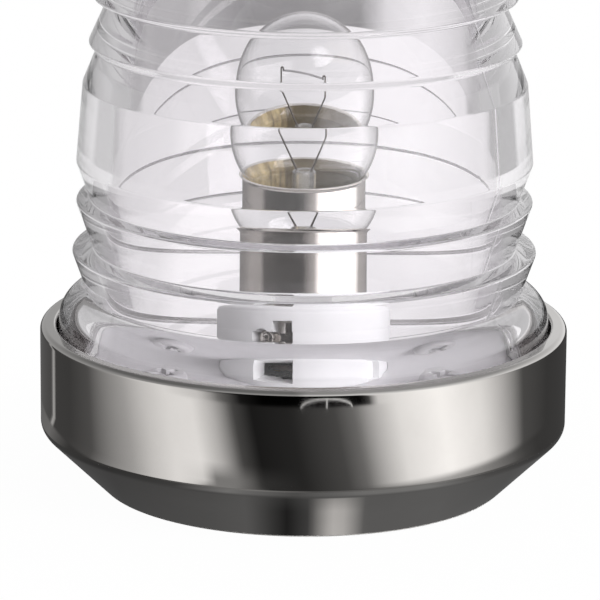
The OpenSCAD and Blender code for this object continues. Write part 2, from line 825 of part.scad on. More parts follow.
module cap_insulator() {
    color([0.1, 0.1, 0.12])
        difference() {
            translate([0, 0, cap_foot + cap_wall + seat_gap])
                cylinder(r = cap_bore_r - 1, h = insulator_t - cap_wall - seat_gap);
            for (side = [0, 180])
                rotate(contact_angle + side)
                    translate([contact_r, 0, cap_foot])
                        cylinder(r = stud_r, h = insulator_t + over);
        }
}

module cap_contacts() {
    head_r = stud_head_d / 2 - 0.1;
    color([0.7, 0.7, 0.7])
        for (side = [0, 180])
            rotate(contact_angle + side)
                translate([contact_r, 0, cap_foot])
                    rotate_extrude()
                        polygon(rounded([
                            [0, -solder_h, 0], [head_r, -solder_h, 0.3], [head_r, cap_wall, 0],
                            [stud_r - seat_gap, cap_wall, 0], [stud_r - seat_gap, insulator_t - seat_gap, 0],
                            [0, insulator_t - seat_gap, 0]
                        ]));
}

base_cup();
cable_bush();
carrier_plate();
carrier_screws();
lamp_socket();
socket_screws();
terminal_strips();
terminal_screws();
contact_springs();
contact_disc();
contact_studs();
lens_seal();
lens();
bulb_glass();
bulb_cap();
bayonet_pins();
basing_cement();
glass_stem();
support_wires();
filament();
cap_insulator();
cap_contacts();
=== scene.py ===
import math
import bpy
import numpy as np
from mathutils import Matrix, Vector
from mathutils.geometry import delaunay_2d_cdt


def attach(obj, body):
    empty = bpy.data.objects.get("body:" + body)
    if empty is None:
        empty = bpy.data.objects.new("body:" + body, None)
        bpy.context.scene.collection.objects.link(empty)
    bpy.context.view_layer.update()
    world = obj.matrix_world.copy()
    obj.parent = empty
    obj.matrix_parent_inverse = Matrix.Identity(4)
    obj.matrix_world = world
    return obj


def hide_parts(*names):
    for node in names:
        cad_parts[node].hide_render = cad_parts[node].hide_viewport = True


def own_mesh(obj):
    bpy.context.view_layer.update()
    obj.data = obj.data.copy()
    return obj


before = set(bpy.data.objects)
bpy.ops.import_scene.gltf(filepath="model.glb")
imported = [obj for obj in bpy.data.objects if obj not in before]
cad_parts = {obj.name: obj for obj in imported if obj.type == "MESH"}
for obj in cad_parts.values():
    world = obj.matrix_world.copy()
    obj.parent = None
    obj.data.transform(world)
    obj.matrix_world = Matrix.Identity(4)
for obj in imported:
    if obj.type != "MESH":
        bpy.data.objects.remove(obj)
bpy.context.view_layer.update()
mm = 0.001  # the pieces are worked out in millimetres
bulbAside = -0.09
meshing = {
    "arcRoom": 0.49, "arcStep": 0.09, "arcLeast": 4, "weldSteps": 5000, "poleR": 1e-6,
    "mergeWithin": 1e-6, "insideShare": 0.999,
}
print("frame loaded, nodes:", len(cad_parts))


# a corner with a radius: the arc that touches both of its sides, in steps of about five degrees
def cornerArc(before, corner, after, radius):
    if radius <= 0:
        return corner[None, :]
    toBefore = (before - corner) / np.linalg.norm(before - corner)
    toAfter = (after - corner) / np.linalg.norm(after - corner)
    half = math.acos(np.clip(toBefore @ toAfter, -1, 1)) / 2
    room = meshing["arcRoom"] * min(np.linalg.norm(before - corner), np.linalg.norm(after - corner))
    reach = min(radius / math.tan(half), room)
    middle = (toBefore + toAfter) / np.linalg.norm(toBefore + toAfter)
    centre = corner + middle * reach / math.cos(half)
    start = corner + toBefore * reach - centre
    end = corner + toAfter * reach - centre
    side = 1.0 if start[0] * end[1] - start[1] * end[0] > 0 else -1.0
    sweep = side * (math.pi - 2 * half)
    turn = np.linspace(0, sweep, max(meshing["arcLeast"], int(abs(sweep) / meshing["arcStep"])))
    x = start[0] * np.cos(turn) - start[1] * np.sin(turn)
    y = start[0] * np.sin(turn) + start[1] * np.cos(turn)
    return centre + np.stack([x, y], 1)


# a profile of (radius, height, corner radius) rows as points, each corner replaced by its arc
def roundedProfile(rows):
    rows = np.array(rows, float)
    count = len(rows)
    arcs = [
        cornerArc(rows[i - 1, :2], rows[i, :2], rows[(i + 1) % count, :2], rows[i, 2])
        for i in range(count)
    ]
    return np.concatenate(arcs)


# the same profile with a point close to both ends of every long straight run, to keep its shading flat
def withSupport(points, near=0.12, longRun=0.6, closed=True):
    following = np.roll(points, -1, 0)
    run = np.linalg.norm(following - points, axis=1)
    if not closed:
        run[-1] = 0
    share = np.where(run > longRun, near / np.maximum(run, 1e-9), 0)[:, None]
    first = points + (following - points) * share
    last = following - (following - points) * share
    rows = np.stack([points, first, last], 1)
    keep = np.ones((len(points), 3), bool)
    keep[:, 1:] = (run > longRun)[:, None]
    return rows[keep]


# a quarter of an ellipse, from its side up to its top, as corner rows without a radius
def quarterRound(centreR, centreZ, halfW, halfH, steps=26):
    turn = np.linspace(0, math.pi / 2, steps)
    return np.stack([centreR + halfW * np.cos(turn), centreZ + halfH * np.sin(turn), 0 * turn], 1)


# a shallow cap of a sphere from a radius up to the axis, without its first point
def domeRows(radius, top, rise, steps=16):
    ball = (radius * radius + rise * rise) / (2 * rise)
    x = np.linspace(radius, 0, steps)[1:]
    return np.stack([x, top - ball + np.sqrt(ball * ball - x * x), 0 * x], 1)


# faces of a grid: row i, column j; columns close on themselves, rows close if asked
def gridFaces(rows, columns, closeRows=False):
    lastRow = rows if closeRows else rows - 1
    i, j = np.meshgrid(np.arange(lastRow), np.arange(columns), indexing="ij")
    below = i * columns + j
    right = i * columns + (j + 1) % columns
    above = ((i + 1) % rows) * columns + j
    corner = ((i + 1) % rows) * columns + (j + 1) % columns
    return np.stack([below, right, corner, above], -1).reshape(-1, 4)


# a profile turned about the z axis: x = r cos t, y = r sin t, with each pole drawn as one point
def turnedParts(profile, angles, closed=True, reach=None):
    radius = np.repeat(profile[:, :1], len(angles), 1)
    if reach is not None:
        radius = radius + reach(profile, angles)
    height = np.repeat(profile[:, 1:], len(angles), 1)
    grid = np.stack([radius * np.cos(angles), radius * np.sin(angles), height], -1)
    faces = gridFaces(len(profile), len(angles), closeRows=closed)
    pole = profile[:, 0] < meshing["poleR"]
    rowOf = np.arange(grid.shape[0] * grid.shape[1]).reshape(grid.shape[:2])
    rowOf[pole] = rowOf[pole][:, :1]
    faces = rowOf.reshape(-1)[faces]
    return grid.reshape(-1, 3), faces


# an even circle of angles
def aroundAngles(count):
    return np.linspace(0, 2 * math.pi, count, endpoint=False)


# a round tube along a path: each ring is square to the run, its frame carried on from the ring before
def tubeParts(path, radius, sides=10):
    path = np.asarray(path, float)
    run = np.gradient(path, axis=0)
    run /= np.linalg.norm(run, axis=1)[:, None]
    aside = np.zeros_like(run)
    spare = np.array([1.0, 0, 0]) if abs(run[0, 2]) > 0.9 else np.array([0, 0, 1.0])
    before = np.cross(run[0], spare)
    for k in range(len(path)):
        before = before - run[k] * (before @ run[k])
        before = before / np.linalg.norm(before)
        aside[k] = before
    up = np.cross(run, aside)
    turn = aroundAngles(sides)
    ring = aside[:, None, :] * np.cos(turn)[None, :, None] + up[:, None, :] * np.sin(turn)[None, :, None]
    radius = np.broadcast_to(radius, len(path))
    grid = path[:, None, :] + ring * radius[:, None, None]
    points = np.concatenate([grid.reshape(-1, 3), path[:1], path[-1:]])
    faces = gridFaces(len(path), sides)
    first = np.arange(sides)
    last = (len(path) - 1) * sides + first
    foot = np.stack([0 * first + len(points) - 2, np.roll(first, -1), first, first], 1)
    head = np.stack([0 * first + len(points) - 1, last, np.roll(last, -1), np.roll(last, -1)], 1)
    return points, np.concatenate([faces, foot, head])


# a smooth course through a few points: each pass puts two points on every run, a quarter from its ends
def smoothPath(points, passes=4):
    points = np.array(points, float)
    for _ in range(passes):
        a = points[:-1] * 0.75 + points[1:] * 0.25
        b = points[:-1] * 0.25 + points[1:] * 0.75
        inner = np.stack([a, b], 1).reshape(-1, 3)
        points = np.concatenate([points[:1], inner, points[-1:]])
    return points


# points turned about z by degrees, then moved
def placed(parts, turn=0.0, move=(0, 0, 0), flip=False):
    points, faces = parts
    if flip:
        points = points * np.array([1, -1, -1])
    c = math.cos(math.radians(turn))
    s = math.sin(math.radians(turn))
    points = points + np.array(move, float)
    x = points[:, 0] * c - points[:, 1] * s
    y = points[:, 0] * s + points[:, 1] * c
    return np.stack([x, y, points[:, 2]], 1), faces


# several lists of vertices and faces as one
def joined(*parts):
    points = np.concatenate([p for p, _ in parts])
    starts = np.cumsum([0] + [len(p) for p, _ in parts[:-1]])
    faces = np.concatenate([f + s for (_, f), s in zip(parts, starts)])
    return points, faces


# corner rows turned about the axis, with support points on their long runs
def lathe(rows, count, near=0.12, longRun=0.6, closed=True):
    return turnedParts(withSupport(roundedProfile(rows), near, longRun, closed), aroundAngles(count), closed)


# two copies half a turn apart
def inPair(parts, turn, away=0.0):
    return joined(*[placed(parts, turn + side, (away, 0, 0)) for side in (0, 180)])


# a mesh object from vertices in millimetres: close points merged, doubled corners and flat faces dropped
def makePiece(name, parts, sharp=38.0):
    points, faces = parts
    keys = np.round(points * meshing["weldSteps"]).astype(np.int64)
    _, first, back = np.unique(keys, axis=0, return_index=True, return_inverse=True)
    points = points[first]
    faces = back.reshape(-1)[faces]
    same = faces == np.roll(faces, -1, 1)
    whole = faces[same.sum(1) == 0]
    threes = faces[same.sum(1) == 1]
    threes = threes[~same[same.sum(1) == 1]].reshape(-1, 3)
    threes = threes[(threes[:, 0] != threes[:, 2])]
    whole = whole[(whole[:, 0] != whole[:, 2]) & (whole[:, 1] != whole[:, 3])]
    mesh = bpy.data.meshes.new(name)
    mesh.from_pydata((points * mm).tolist(), [], whole.tolist() + threes.tolist())
    mesh.validate()
    mesh.polygons.foreach_set("use_smooth", np.ones(len(mesh.polygons), bool))
    mesh.set_sharp_from_angle(angle=math.radians(sharp))
    mesh.update()
    piece = bpy.data.objects.new(name, mesh)
    bpy.context.scene.collection.objects.link(piece)
    return piece


# a piece is given its body and its material, and the nodes it stands for are hidden
def fit(piece, body, slotName, material, *nodes):
    piece.data.materials.clear()
    piece.data.materials.append(material)
    if body == "bulb":  # the bulb leans to one side in its socket's play
        piece.data.transform(Matrix.Translation((bulbAside * mm, 0, 0)))
    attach(piece, body)
    if nodes:
        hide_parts(*nodes)
    print("made", piece.name, "with", len(piece.data.polygons), "faces")
    return piece


# a merged copy of a node's own mesh, so that its round faces can be shaded smoothly
def smoothCopy(node, name, sharp=28.0):
    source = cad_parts[node].data
    count = len(source.vertices)
    points = np.empty(count * 3, np.float32)
    source.vertices.foreach_get("co", points)
    source.calc_loop_triangles()
    faces = np.empty(len(source.loop_triangles) * 3, np.int32)
    source.loop_triangles.foreach_get("vertices", faces)
    faces = faces.reshape(-1, 3)
    return makePiece(name, (points.reshape(-1, 3).astype(float) / mm, faces[:, [0, 1, 2, 2]]), sharp)


# a node with its settings, and each of its inputs linked to a socket or set to a value
def addNode(tree, kind, links=None, **values):
    node = tree.nodes.new(kind)
    for key, value in values.items():
        setattr(node, key, value)
    for key, value in (links or {}).items():
        if isinstance(value, bpy.types.NodeSocket):
            tree.links.new(value, node.inputs[key])
        else:
            node.inputs[key].default_value = value
    return node


# one operation on up to three values
def maths(tree, operation, *values):
    return addNode(tree, "ShaderNodeMath", dict(enumerate(values)), operation=operation).outputs["Value"]


# a value carried from one range to another and held at its ends
def ranged(tree, value, low, high, toLow=0.0, toHigh=1.0, way="LINEAR"):
    ends = {"From Min": low, "From Max": high, "To Min": toLow, "To Max": toHigh}
    node = addNode(tree, "ShaderNodeMapRange", {"Value": value, **ends}, interpolation_type=way)
    return node.outputs["Result"]


# two colours mixed by a share
def mixed(tree, share, first, second, blend="MIX"):
    node = addNode(tree, "ShaderNodeMix", {0: share, 6: first, 7: second}, data_type="RGBA", blend_type=blend)
    return node.outputs[2]


# two shaders mixed by a share
def shadersMixed(tree, share, first, second):
    return addNode(tree, "ShaderNodeMixShader", {0: share, 1: first, 2: second}).outputs["Shader"]


# cloudy noise at a place
def noise(tree, place, scale, **more):
    return addNode(tree, "ShaderNodeTexNoise", {"Vector": place, "Scale": scale, **more}).outputs["Fac"]


# x, y and z of a place
def split(tree, place):
    parts = addNode(tree, "ShaderNodeSeparateXYZ", {"Vector": place})
    return parts.outputs["X"], parts.outputs["Y"], parts.outputs["Z"]


# a flat place from x and y
def paired(tree, x, y):
    return addNode(tree, "ShaderNodeCombineXYZ", {"X": x, "Y": y}).outputs["Vector"]


# how far a place is from the origin
def lengthOf(tree, place):
    return addNode(tree, "ShaderNodeVectorMath", {0: place}, operation="LENGTH").outputs["Value"]


# an emptied tree of nodes and its output node
def emptyTree(owner, kind="ShaderNodeOutputMaterial"):
    owner.use_nodes = True
    tree = owner.node_tree
    tree.nodes.clear()
    return tree, tree.nodes.new(kind)


socketKinds = {
    "Vector": "NodeSocketVector", "Color": "NodeSocketColor",
    "Light": "NodeSocketColor", "Dark": "NodeSocketColor",
}


# a node group for a shared effect; sockets not listed above carry plain values
def newGroup(name, inputs, outputs):
    tree = bpy.data.node_groups.new(name, "ShaderNodeTree")
    for way, names in (("INPUT", inputs), ("OUTPUT", outputs)):
        for socketName in names:
            kind = socketKinds.get(socketName, "NodeSocketFloat")
            tree.interface.new_socket(socketName, in_out=way, socket_type=kind)
    start = tree.nodes.new("NodeGroupInput")
    end = tree.nodes.new("NodeGroupOutput")
    return tree, start.outputs, end.inputs


# mottle: cloudy noise that mixes two close colours
def makeMottle():
    tree, given, shown = newGroup("mottle", ["Vector", "Scale", "Light", "Dark"], ["Color"])
    cloud = noise(tree, given["Vector"], given["Scale"], Detail=5.0, Roughness=0.6)
    share = ranged(tree, cloud, 0.32, 0.68)
    tree.links.new(mixed(tree, share, given["Light"], given["Dark"]), shown["Color"])
    return tree


# handling: roughness that drifts between two values
def makeHandling():
    tree, given, shown = newGroup("handling", ["Vector", "Scale", "Low", "High"], ["Roughness"])
    broad = noise(tree, given["Vector"], given["Scale"], Detail=6.0, Distortion=0.6)
    tree.links.new(ranged(tree, broad, 0.3, 0.7, given["Low"], given["High"]), shown["Roughness"])
    return tree


# turned lines: fine rings left by turning, drawn on radius plus height and broken up round the axis
def makeTurnedLines():
    tree, given, shown = newGroup("turnedLines", ["Vector", "Count"], ["Height"])
    x, y, z = split(tree, given["Vector"])
    slow = maths(tree, "MULTIPLY", maths(tree, "ARCTAN2", y, x), 2.5)
    across = maths(tree, "ADD", lengthOf(tree, paired(tree, x, y)), z)
    lines = maths(tree, "MULTIPLY", across, given["Count"])
    tree.links.new(noise(tree, paired(tree, slow, lines), 1.0, Detail=3.0), shown["Height"])
    return tree


# moulded grain: two scales of noise for the skin of moulded plastic, rubber or cement
def makeMouldedGrain():
    tree, given, shown = newGroup("mouldedGrain", ["Vector", "Fine", "Coarse"], ["Height"])
    fine = noise(tree, given["Vector"], given["Fine"], Detail=2.0)
    coarse = noise(tree, given["Vector"], given["Coarse"], Detail=3.0)
    tree.links.new(maths(tree, "MULTIPLY_ADD", fine, 0.5, coarse), shown["Height"])
    return tree


effects = {
    "mottle": makeMottle(),
    "handling": makeHandling(),
    "turnedLines": makeTurnedLines(),
    "mouldedGrain": makeMouldedGrain(),
}


# one result of a shared effect
def useEffect(tree, name, result, **values):
    return addNode(tree, "ShaderNodeGroup", values, node_tree=effects[name]).outputs[result]


# a colour with full cover
def rgba(colour):
    return (colour[0], colour[1], colour[2], 1.0)


# painted shade: a darker second colour laid on along x for the side away from the light, its edge broken by
# noise on the angle round the axis
def shadedSideTint(tree, here, tint, look):
    x, y, z = split(tree, here)
    place = paired(tree, maths(tree, "ARCTAN2", y, x), z)
    streak = noise(tree, place, look["streaks"], Detail=3.0)
    moved = maths(tree, "ADD", x, ranged(tree, streak, 0.3, 0.7, -look["wander"], look["wander"]))
    share = ranged(tree, moved, look["shadeFrom"], look["shadeTo"], 0.0, look["shadeMost"])
    return mixed(tree, share, tint, rgba(look["shadeColour"]))


finish = {"smearScale": 1.7, "coarseShare": 0.2, "depth": 0.00003}


# one finish: two close colours, a drifting roughness and a relief, on the piece's own coordinates
def makeFinish(name, look):
    material = bpy.data.materials.new(name)
    tree, end = emptyTree(material)
    here = tree.nodes.new("ShaderNodeTexCoord").outputs["Object"]
    tint = useEffect(tree, "mottle", "Color", Vector=here, Scale=look["cloud"],
                     Light=rgba(look["light"]), Dark=rgba(look["dark"]))
    # painted shade: the side away from the light is darker
    if look.get("shadeColour"):  # darker from one side on, in upright streaks
        tint = shadedSideTint(tree, here, tint, look)
    gloss = useEffect(tree, "handling", "Roughness", Vector=here, Scale=look["cloud"] * finish["smearScale"],
                      Low=look["gloss"][0], High=look["gloss"][1])
    if look.get("lines"):
        relief = useEffect(tree, "turnedLines", "Height", Vector=here, Count=look["lines"])
    else:
        relief = useEffect(tree, "mouldedGrain", "Height", Vector=here, Fine=look["grain"],
                           Coarse=look["grain"] * finish["coarseShare"])
    bump = addNode(tree, "ShaderNodeBump", {
        "Height": relief, "Strength": look["relief"], "Distance": look.get("depth", finish["depth"])})
    shader = addNode(tree, "ShaderNodeBsdfPrincipled", {
        "Base Color": tint, "Roughness": gloss, "Normal": bump.outputs["Normal"], **look["sockets"]})
    shown = shader.outputs["BSDF"]
    if look.get("through"):  # lamps reach what is inside a clear piece
        shadow = tree.nodes.new("ShaderNodeLightPath").outputs["Is Shadow Ray"]
        past = addNode(tree, "ShaderNodeBsdfTransparent", {"Color": rgba(look["through"])})
        shown = shadersMixed(tree, shadow, shown, past.outputs["BSDF"])
    tree.links.new(shown, end.inputs["Surface"])
    return material


metal = {"Metallic": 1.0}
drawn = {"grain": 9000.0, "relief": 0.1, "depth": 0.00001, "sockets": metal}
steel = makeFinish("polishedSteel", {
    "light": (0.60, 0.585, 0.57), "dark": (0.55, 0.535, 0.52), "cloud": 60.0,
    "gloss": (0.035, 0.075), "lines": 9000.0, "relief": 0.05, "depth": 0.000004,
    "sockets": metal,
})
lensClear = makeFinish("clearPrismLens", {
    "light": (0.974, 0.957, 0.976), "dark": (0.964, 0.946, 0.966), "cloud": 45.0,
    "gloss": (0.0, 0.012), "grain": 220.0, "relief": 0.02, "depth": 0.00002,
    "sockets": {"Transmission Weight": 1.0, "IOR": 1.585},
    "through": (0.95, 0.95, 0.96),
})
bulbClear = makeFinish("bulbGlass", {
    "light": (0.985, 0.985, 0.985), "dark": (0.965, 0.97, 0.97), "cloud": 90.0,
    "gloss": (0.0, 0.01), "grain": 300.0, "relief": 0.03, "depth": 0.00002,
    "sockets": {"Transmission Weight": 1.0, "IOR": 1.42},
    "through": (0.97, 0.97, 0.97),
})
moulded = {
    "cloud": 130.0, "gloss": (0.28, 0.42), "grain": 5200.0, "relief": 0.10, "depth": 0.00002,
    "sockets": {"IOR": 1.49},
}
whitePlastic = makeFinish("whitePlastic", {
    "light": (0.86, 0.86, 0.865), "dark": (0.80, 0.80, 0.80), **moulded,
})
# painted shade: the same white plastic as the socket, given a darker grey for the shade the plate sits in
# under the lens
shadedPlatePlastic = makeFinish("shadedPlatePlastic", {
    "light": (0.64, 0.63, 0.645), "dark": (0.57, 0.56, 0.575), **moulded,
})
sealRubber = makeFinish("sealRubber", {
    "light": (0.72, 0.72, 0.71), "dark": (0.62, 0.62, 0.61), "cloud": 160.0,
    "gloss": (0.5, 0.7), "grain": 6000.0, "relief": 0.25,
    "sockets": {"IOR": 1.45},
})
bushRubber = makeFinish("bushRubber", {
    "light": (0.022, 0.022, 0.024), "dark": (0.012, 0.012, 0.013), "cloud": 200.0,
    "gloss": (0.45, 0.68), "grain": 6000.0, "relief": 0.3,
    "sockets": {"IOR": 1.5},
})
screwSteel = makeFinish("screwSteel", {
    "light": (0.62, 0.61, 0.60), "dark": (0.50, 0.49, 0.48), "cloud": 900.0,
    "gloss": (0.16, 0.32), "grain": 9000.0, "relief": 0.12, "depth": 0.00001,
    "sockets": metal,
})
# painted shade: the carrier screw heads are given a grey close to the plate's painted shade
shadedScrewGrey = makeFinish("shadedScrewGrey", {
    "light": (0.52, 0.51, 0.52), "dark": (0.46, 0.45, 0.46), "cloud": 700.0,
    "gloss": (0.3, 0.45), "grain": 6000.0, "relief": 0.12,
    "sockets": {"IOR": 1.52},
})
contactBrass = makeFinish("contactBrass", {
    "light": (0.78, 0.58, 0.27), "dark": (0.60, 0.42, 0.17), "cloud": 700.0,
    "gloss": (0.2, 0.36), "grain": 8000.0, "relief": 0.12, "depth": 0.00001,
    "sockets": metal,
})
springSteel = makeFinish("springSteel", {
    "light": (0.55, 0.55, 0.56), "dark": (0.40, 0.40, 0.41), "cloud": 1200.0,
    "gloss": (0.2, 0.32), **drawn,
})
discBrown = makeFinish("discBrown", {
    "light": (0.030, 0.015, 0.008), "dark": (0.016, 0.008, 0.005), "cloud": 420.0,
    "gloss": (0.4, 0.6), "grain": 7000.0, "relief": 0.2,
    "sockets": {"IOR": 1.5},
})
capNickel = makeFinish("capNickel", {
    "light": (0.76, 0.73, 0.69), "dark": (0.68, 0.65, 0.61), "cloud": 300.0,
    "gloss": (0.06, 0.12), "lines": 14000.0, "relief": 0.08, "depth": 0.000006,
    "sockets": metal,
})
cementBrown = makeFinish("basingCement", {
    "light": (0.82, 0.66, 0.36), "dark": (0.22, 0.15, 0.06), "cloud": 620.0,
    "gloss": (0.35, 0.6), "grain": 2600.0, "relief": 0.7, "depth": 0.00012,
    "sockets": {"IOR": 1.5},
    # painted shade: lighter on the left where the light falls, dark from the middle to the right
    "shadeColour": (0.08, 0.055, 0.015), "shadeFrom": -0.0046, "shadeTo": -0.0016, "streaks": 14.0,
    "wander": 0.0016, "shadeMost": 0.93,
})
stemMilky = makeFinish("stemGlass", {
    "light": (0.93, 0.92, 0.89), "dark": (0.86, 0.84, 0.79), "cloud": 500.0,
    "gloss": (0.03, 0.1), "grain": 900.0, "relief": 0.2, "depth": 0.00004,
    "sockets": {"Transmission Weight": 0.85, "IOR": 1.5},
    "through": (0.9, 0.9, 0.88),
})
wireMetal = makeFinish("leadWire", {
    "light": (0.24, 0.21, 0.19), "dark": (0.13, 0.12, 0.11), "cloud": 900.0,
    "gloss": (0.25, 0.45), **drawn,
})
filamentGrey = makeFinish("filamentGrey", {
    "light": (0.52, 0.50, 0.52), "dark": (0.36, 0.34, 0.36), "cloud": 900.0,
    "gloss": (0.3, 0.5), **drawn,
})
insulatorBlack = makeFinish("capInsulator", {
    "light": (0.018, 0.018, 0.022), "dark": (0.008, 0.008, 0.01), "cloud": 420.0,
    "gloss": (0.08, 0.2), "grain": 3000.0, "relief": 0.15,
    "sockets": {"IOR": 1.55},
})
solderGrey = makeFinish("solder", {
    "light": (0.66, 0.66, 0.67), "dark": (0.50, 0.50, 0.51), "cloud": 900.0,
    "gloss": (0.25, 0.5), "grain": 3500.0, "relief": 0.3, "depth": 0.00003,
    "sockets": metal,
})
print("materials ready")

base = {
    "rimR": 32.3, "boreR": 30.3, "height": 20.0, "footR": 24.8, "flareH": 7.3,
    "flareRound": 1.5, "rimRound": 0.7, "footRound": 0.5, "innerFlareH": 8.144, "innerFloorR": 23.987,
    "innerRound": 0.5, "floor": 2.0, "plateR": 22.4, "segments": 360, "holeSegments": 48, "sharp": 32,
    "bushHoleR": 4.85, "fixingR": 18.0, "fixingHoleR": 2.2, "fixingTurns": (-90.0, 30.0, 150.0),
    "legR": 18.987, "legHoleR": 1.55, "legTurns": (-30.0, -150.0, 90.0), "chamfer": 0.25,
}


# points on a circle about a place
def circlePoints(x, y, r, count):
    turn = aroundAngles(count)
    return np.stack([x + r * np.cos(turn), y + r * np.sin(turn)], 1)


# a round plate with round holes: triangles between the rim's circle and the holes' circles, on both faces
def piercedPlate(radius, segments, holes, low, high):
    circles = [circlePoints(0, 0, radius, segments)]
    circles += [circlePoints(x, y, r, base["holeSegments"]) for x, y, r in holes]
    edges = []
    start = 0
    for circle in circles:
        index = np.arange(len(circle)) + start
        edges.append(np.stack([index, np.roll(index, -1)], 1))
        start += len(circle)
    corners = [Vector(p) for p in np.concatenate(circles).tolist()]
    made = delaunay_2d_cdt(corners, np.concatenate(edges).tolist(), [], 1, meshing["mergeWithin"])
    flat = np.array([tuple(v) for v in made[0]])
    faces = np.array(made[2])
    middle = flat[faces].mean(1)
    keep = np.hypot(middle[:, 0], middle[:, 1]) < radius
    for x, y, r in holes:
        keep &= np.hypot(middle[:, 0] - x, middle[:, 1] - y) > r * meshing["insideShare"]
    faces = faces[keep]
    a, b, c = flat[faces[:, 0]], flat[faces[:, 1]], flat[faces[:, 2]]
    area = (b[:, 0] - a[:, 0]) * (c[:, 1] - a[:, 1]) - (b[:, 1] - a[:, 1]) * (c[:, 0] - a[:, 0])
    faces = np.where((area > 0)[:, None], faces, faces[:, ::-1])
    fours = faces[:, [0, 1, 2, 2]]
    top = np.column_stack([flat, np.full(len(flat), high)])
    under = np.column_stack([flat, np.full(len(flat), low)])
    return joined((top, fours), (under, fours[:, [0, 2, 1, 1]]))


# the wall of a hole with a small chamfer at both ends, facing its axis
def holeWall(x, y, radius, low, high, chamfer):
    rows = np.array([
        [radius + chamfer, high], [radius, high - chamfer], [radius, low + chamfer], [radius + chamfer, low]])
    points, faces = turnedParts(rows, aroundAngles(base["holeSegments"]), closed=False)
    return points + np.array([x, y, 0.0]), faces


# the cup: its wall turned about the axis, and a floor pierced for bush, fixings and legs
def makeBase():
    b = base
    rows = [
        [b["plateR"], 0, 0], [b["footR"], 0, b["footRound"]], [b["rimR"], b["flareH"], b["flareRound"]],
        [b["rimR"], b["height"], b["rimRound"]], [b["boreR"], b["height"], b["rimRound"] / 2],
        [b["boreR"], b["innerFlareH"], b["innerRound"]], [b["innerFloorR"], b["floor"], b["innerRound"] / 2],
        [b["plateR"], b["floor"], 0],
    ]
    wall = lathe(rows, b["segments"], closed=False)
    holes = [(0.0, 0.0, b["bushHoleR"])]
    for kind in ("fixing", "leg"):
        away = b[kind + "R"]
        turns = np.radians(b[kind + "Turns"])
        holes += [(away * math.cos(t), away * math.sin(t), b[kind + "HoleR"]) for t in turns]
    wide = [(x, y, r + b["chamfer"]) for x, y, r in holes]
    plate = piercedPlate(b["plateR"], b["segments"], wide, 0.0, b["floor"])
    walls = [holeWall(x, y, r, 0.0, b["floor"], b["chamfer"]) for x, y, r in holes]
    return makePiece("baseCup", joined(wall, plate, *walls), b["sharp"])


fit(makeBase(), "base", "steel", steel, "base_cup")

bush = {
    "boreR": 3.0, "outR": 4.8, "flangeR": 7.2, "floor": 2.0, "top": 3.3, "mouth": 1.5, "mouthH": 0.5,
    "segments": 96,
}


# the cable bush: a sleeve through the floor, with a flange on it
def makeBush():
    b = bush
    rows = [
        [b["boreR"], 0, 0.25], [b["outR"], 0, 0.15], [b["outR"], b["floor"], 0],
        [b["flangeR"], b["floor"], 0.1], [b["flangeR"], b["top"], 0.6],
        [b["boreR"] + b["mouth"], b["top"], 0.3], [b["boreR"], b["top"] - b["mouthH"], 0.2],
    ]
    return makePiece("cableBush", lathe(rows, b["segments"]))


fit(makeBush(), "base", "bush_rubber", bushRubber, "cable_bush")
fit(smoothCopy("carrier_plate", "carrierPlate"), "base", "white_plastic", shadedPlatePlastic, "carrier_plate")
fit(smoothCopy("lamp_socket", "lampSocket"), "base", "white_plastic", whitePlastic, "lamp_socket")
fit(smoothCopy("terminal_strips", "terminalStrips"), "base", "contact_brass", contactBrass, "terminal_strips")

screws = {
    "carrier": {
        "d": 3.0, "length": 14.0, "headD": 5.5, "headH": 1.8, "pitch": 0.5, "away": base["legR"], "z": 14.5,
        "turns": base["legTurns"], "flip": False,
    },
    "socket": {
        "d": 2.5, "length": 3.2, "headD": 5.0, "headH": 1.5, "pitch": 0.45, "away": 12.575, "z": 10.5,
        "turns": (-119, 61), "flip": True,
    },
    "terminal": {
        "d": 3.0, "length": 4.04, "headD": 5.0, "headH": 1.6, "pitch": 0.5, "away": 10.7, "z": 7.25,
        "turns": (-29, 151), "flip": True,
    },
    "cut": {
        "arm": 0.085, "span": 0.30, "armSoft": 0.12, "spanSoft": 0.25, "depth": 0.5, "from": 0.6,
        "round": 0.45, "headSides": 144, "rings": 30, "sides": 36, "ringsPerTurn": 6, "sharp": 30,
        "body": 0.985, "vee": 0.09, "fadeTop": 0.4, "fadeEnd": 0.3,
    },
}


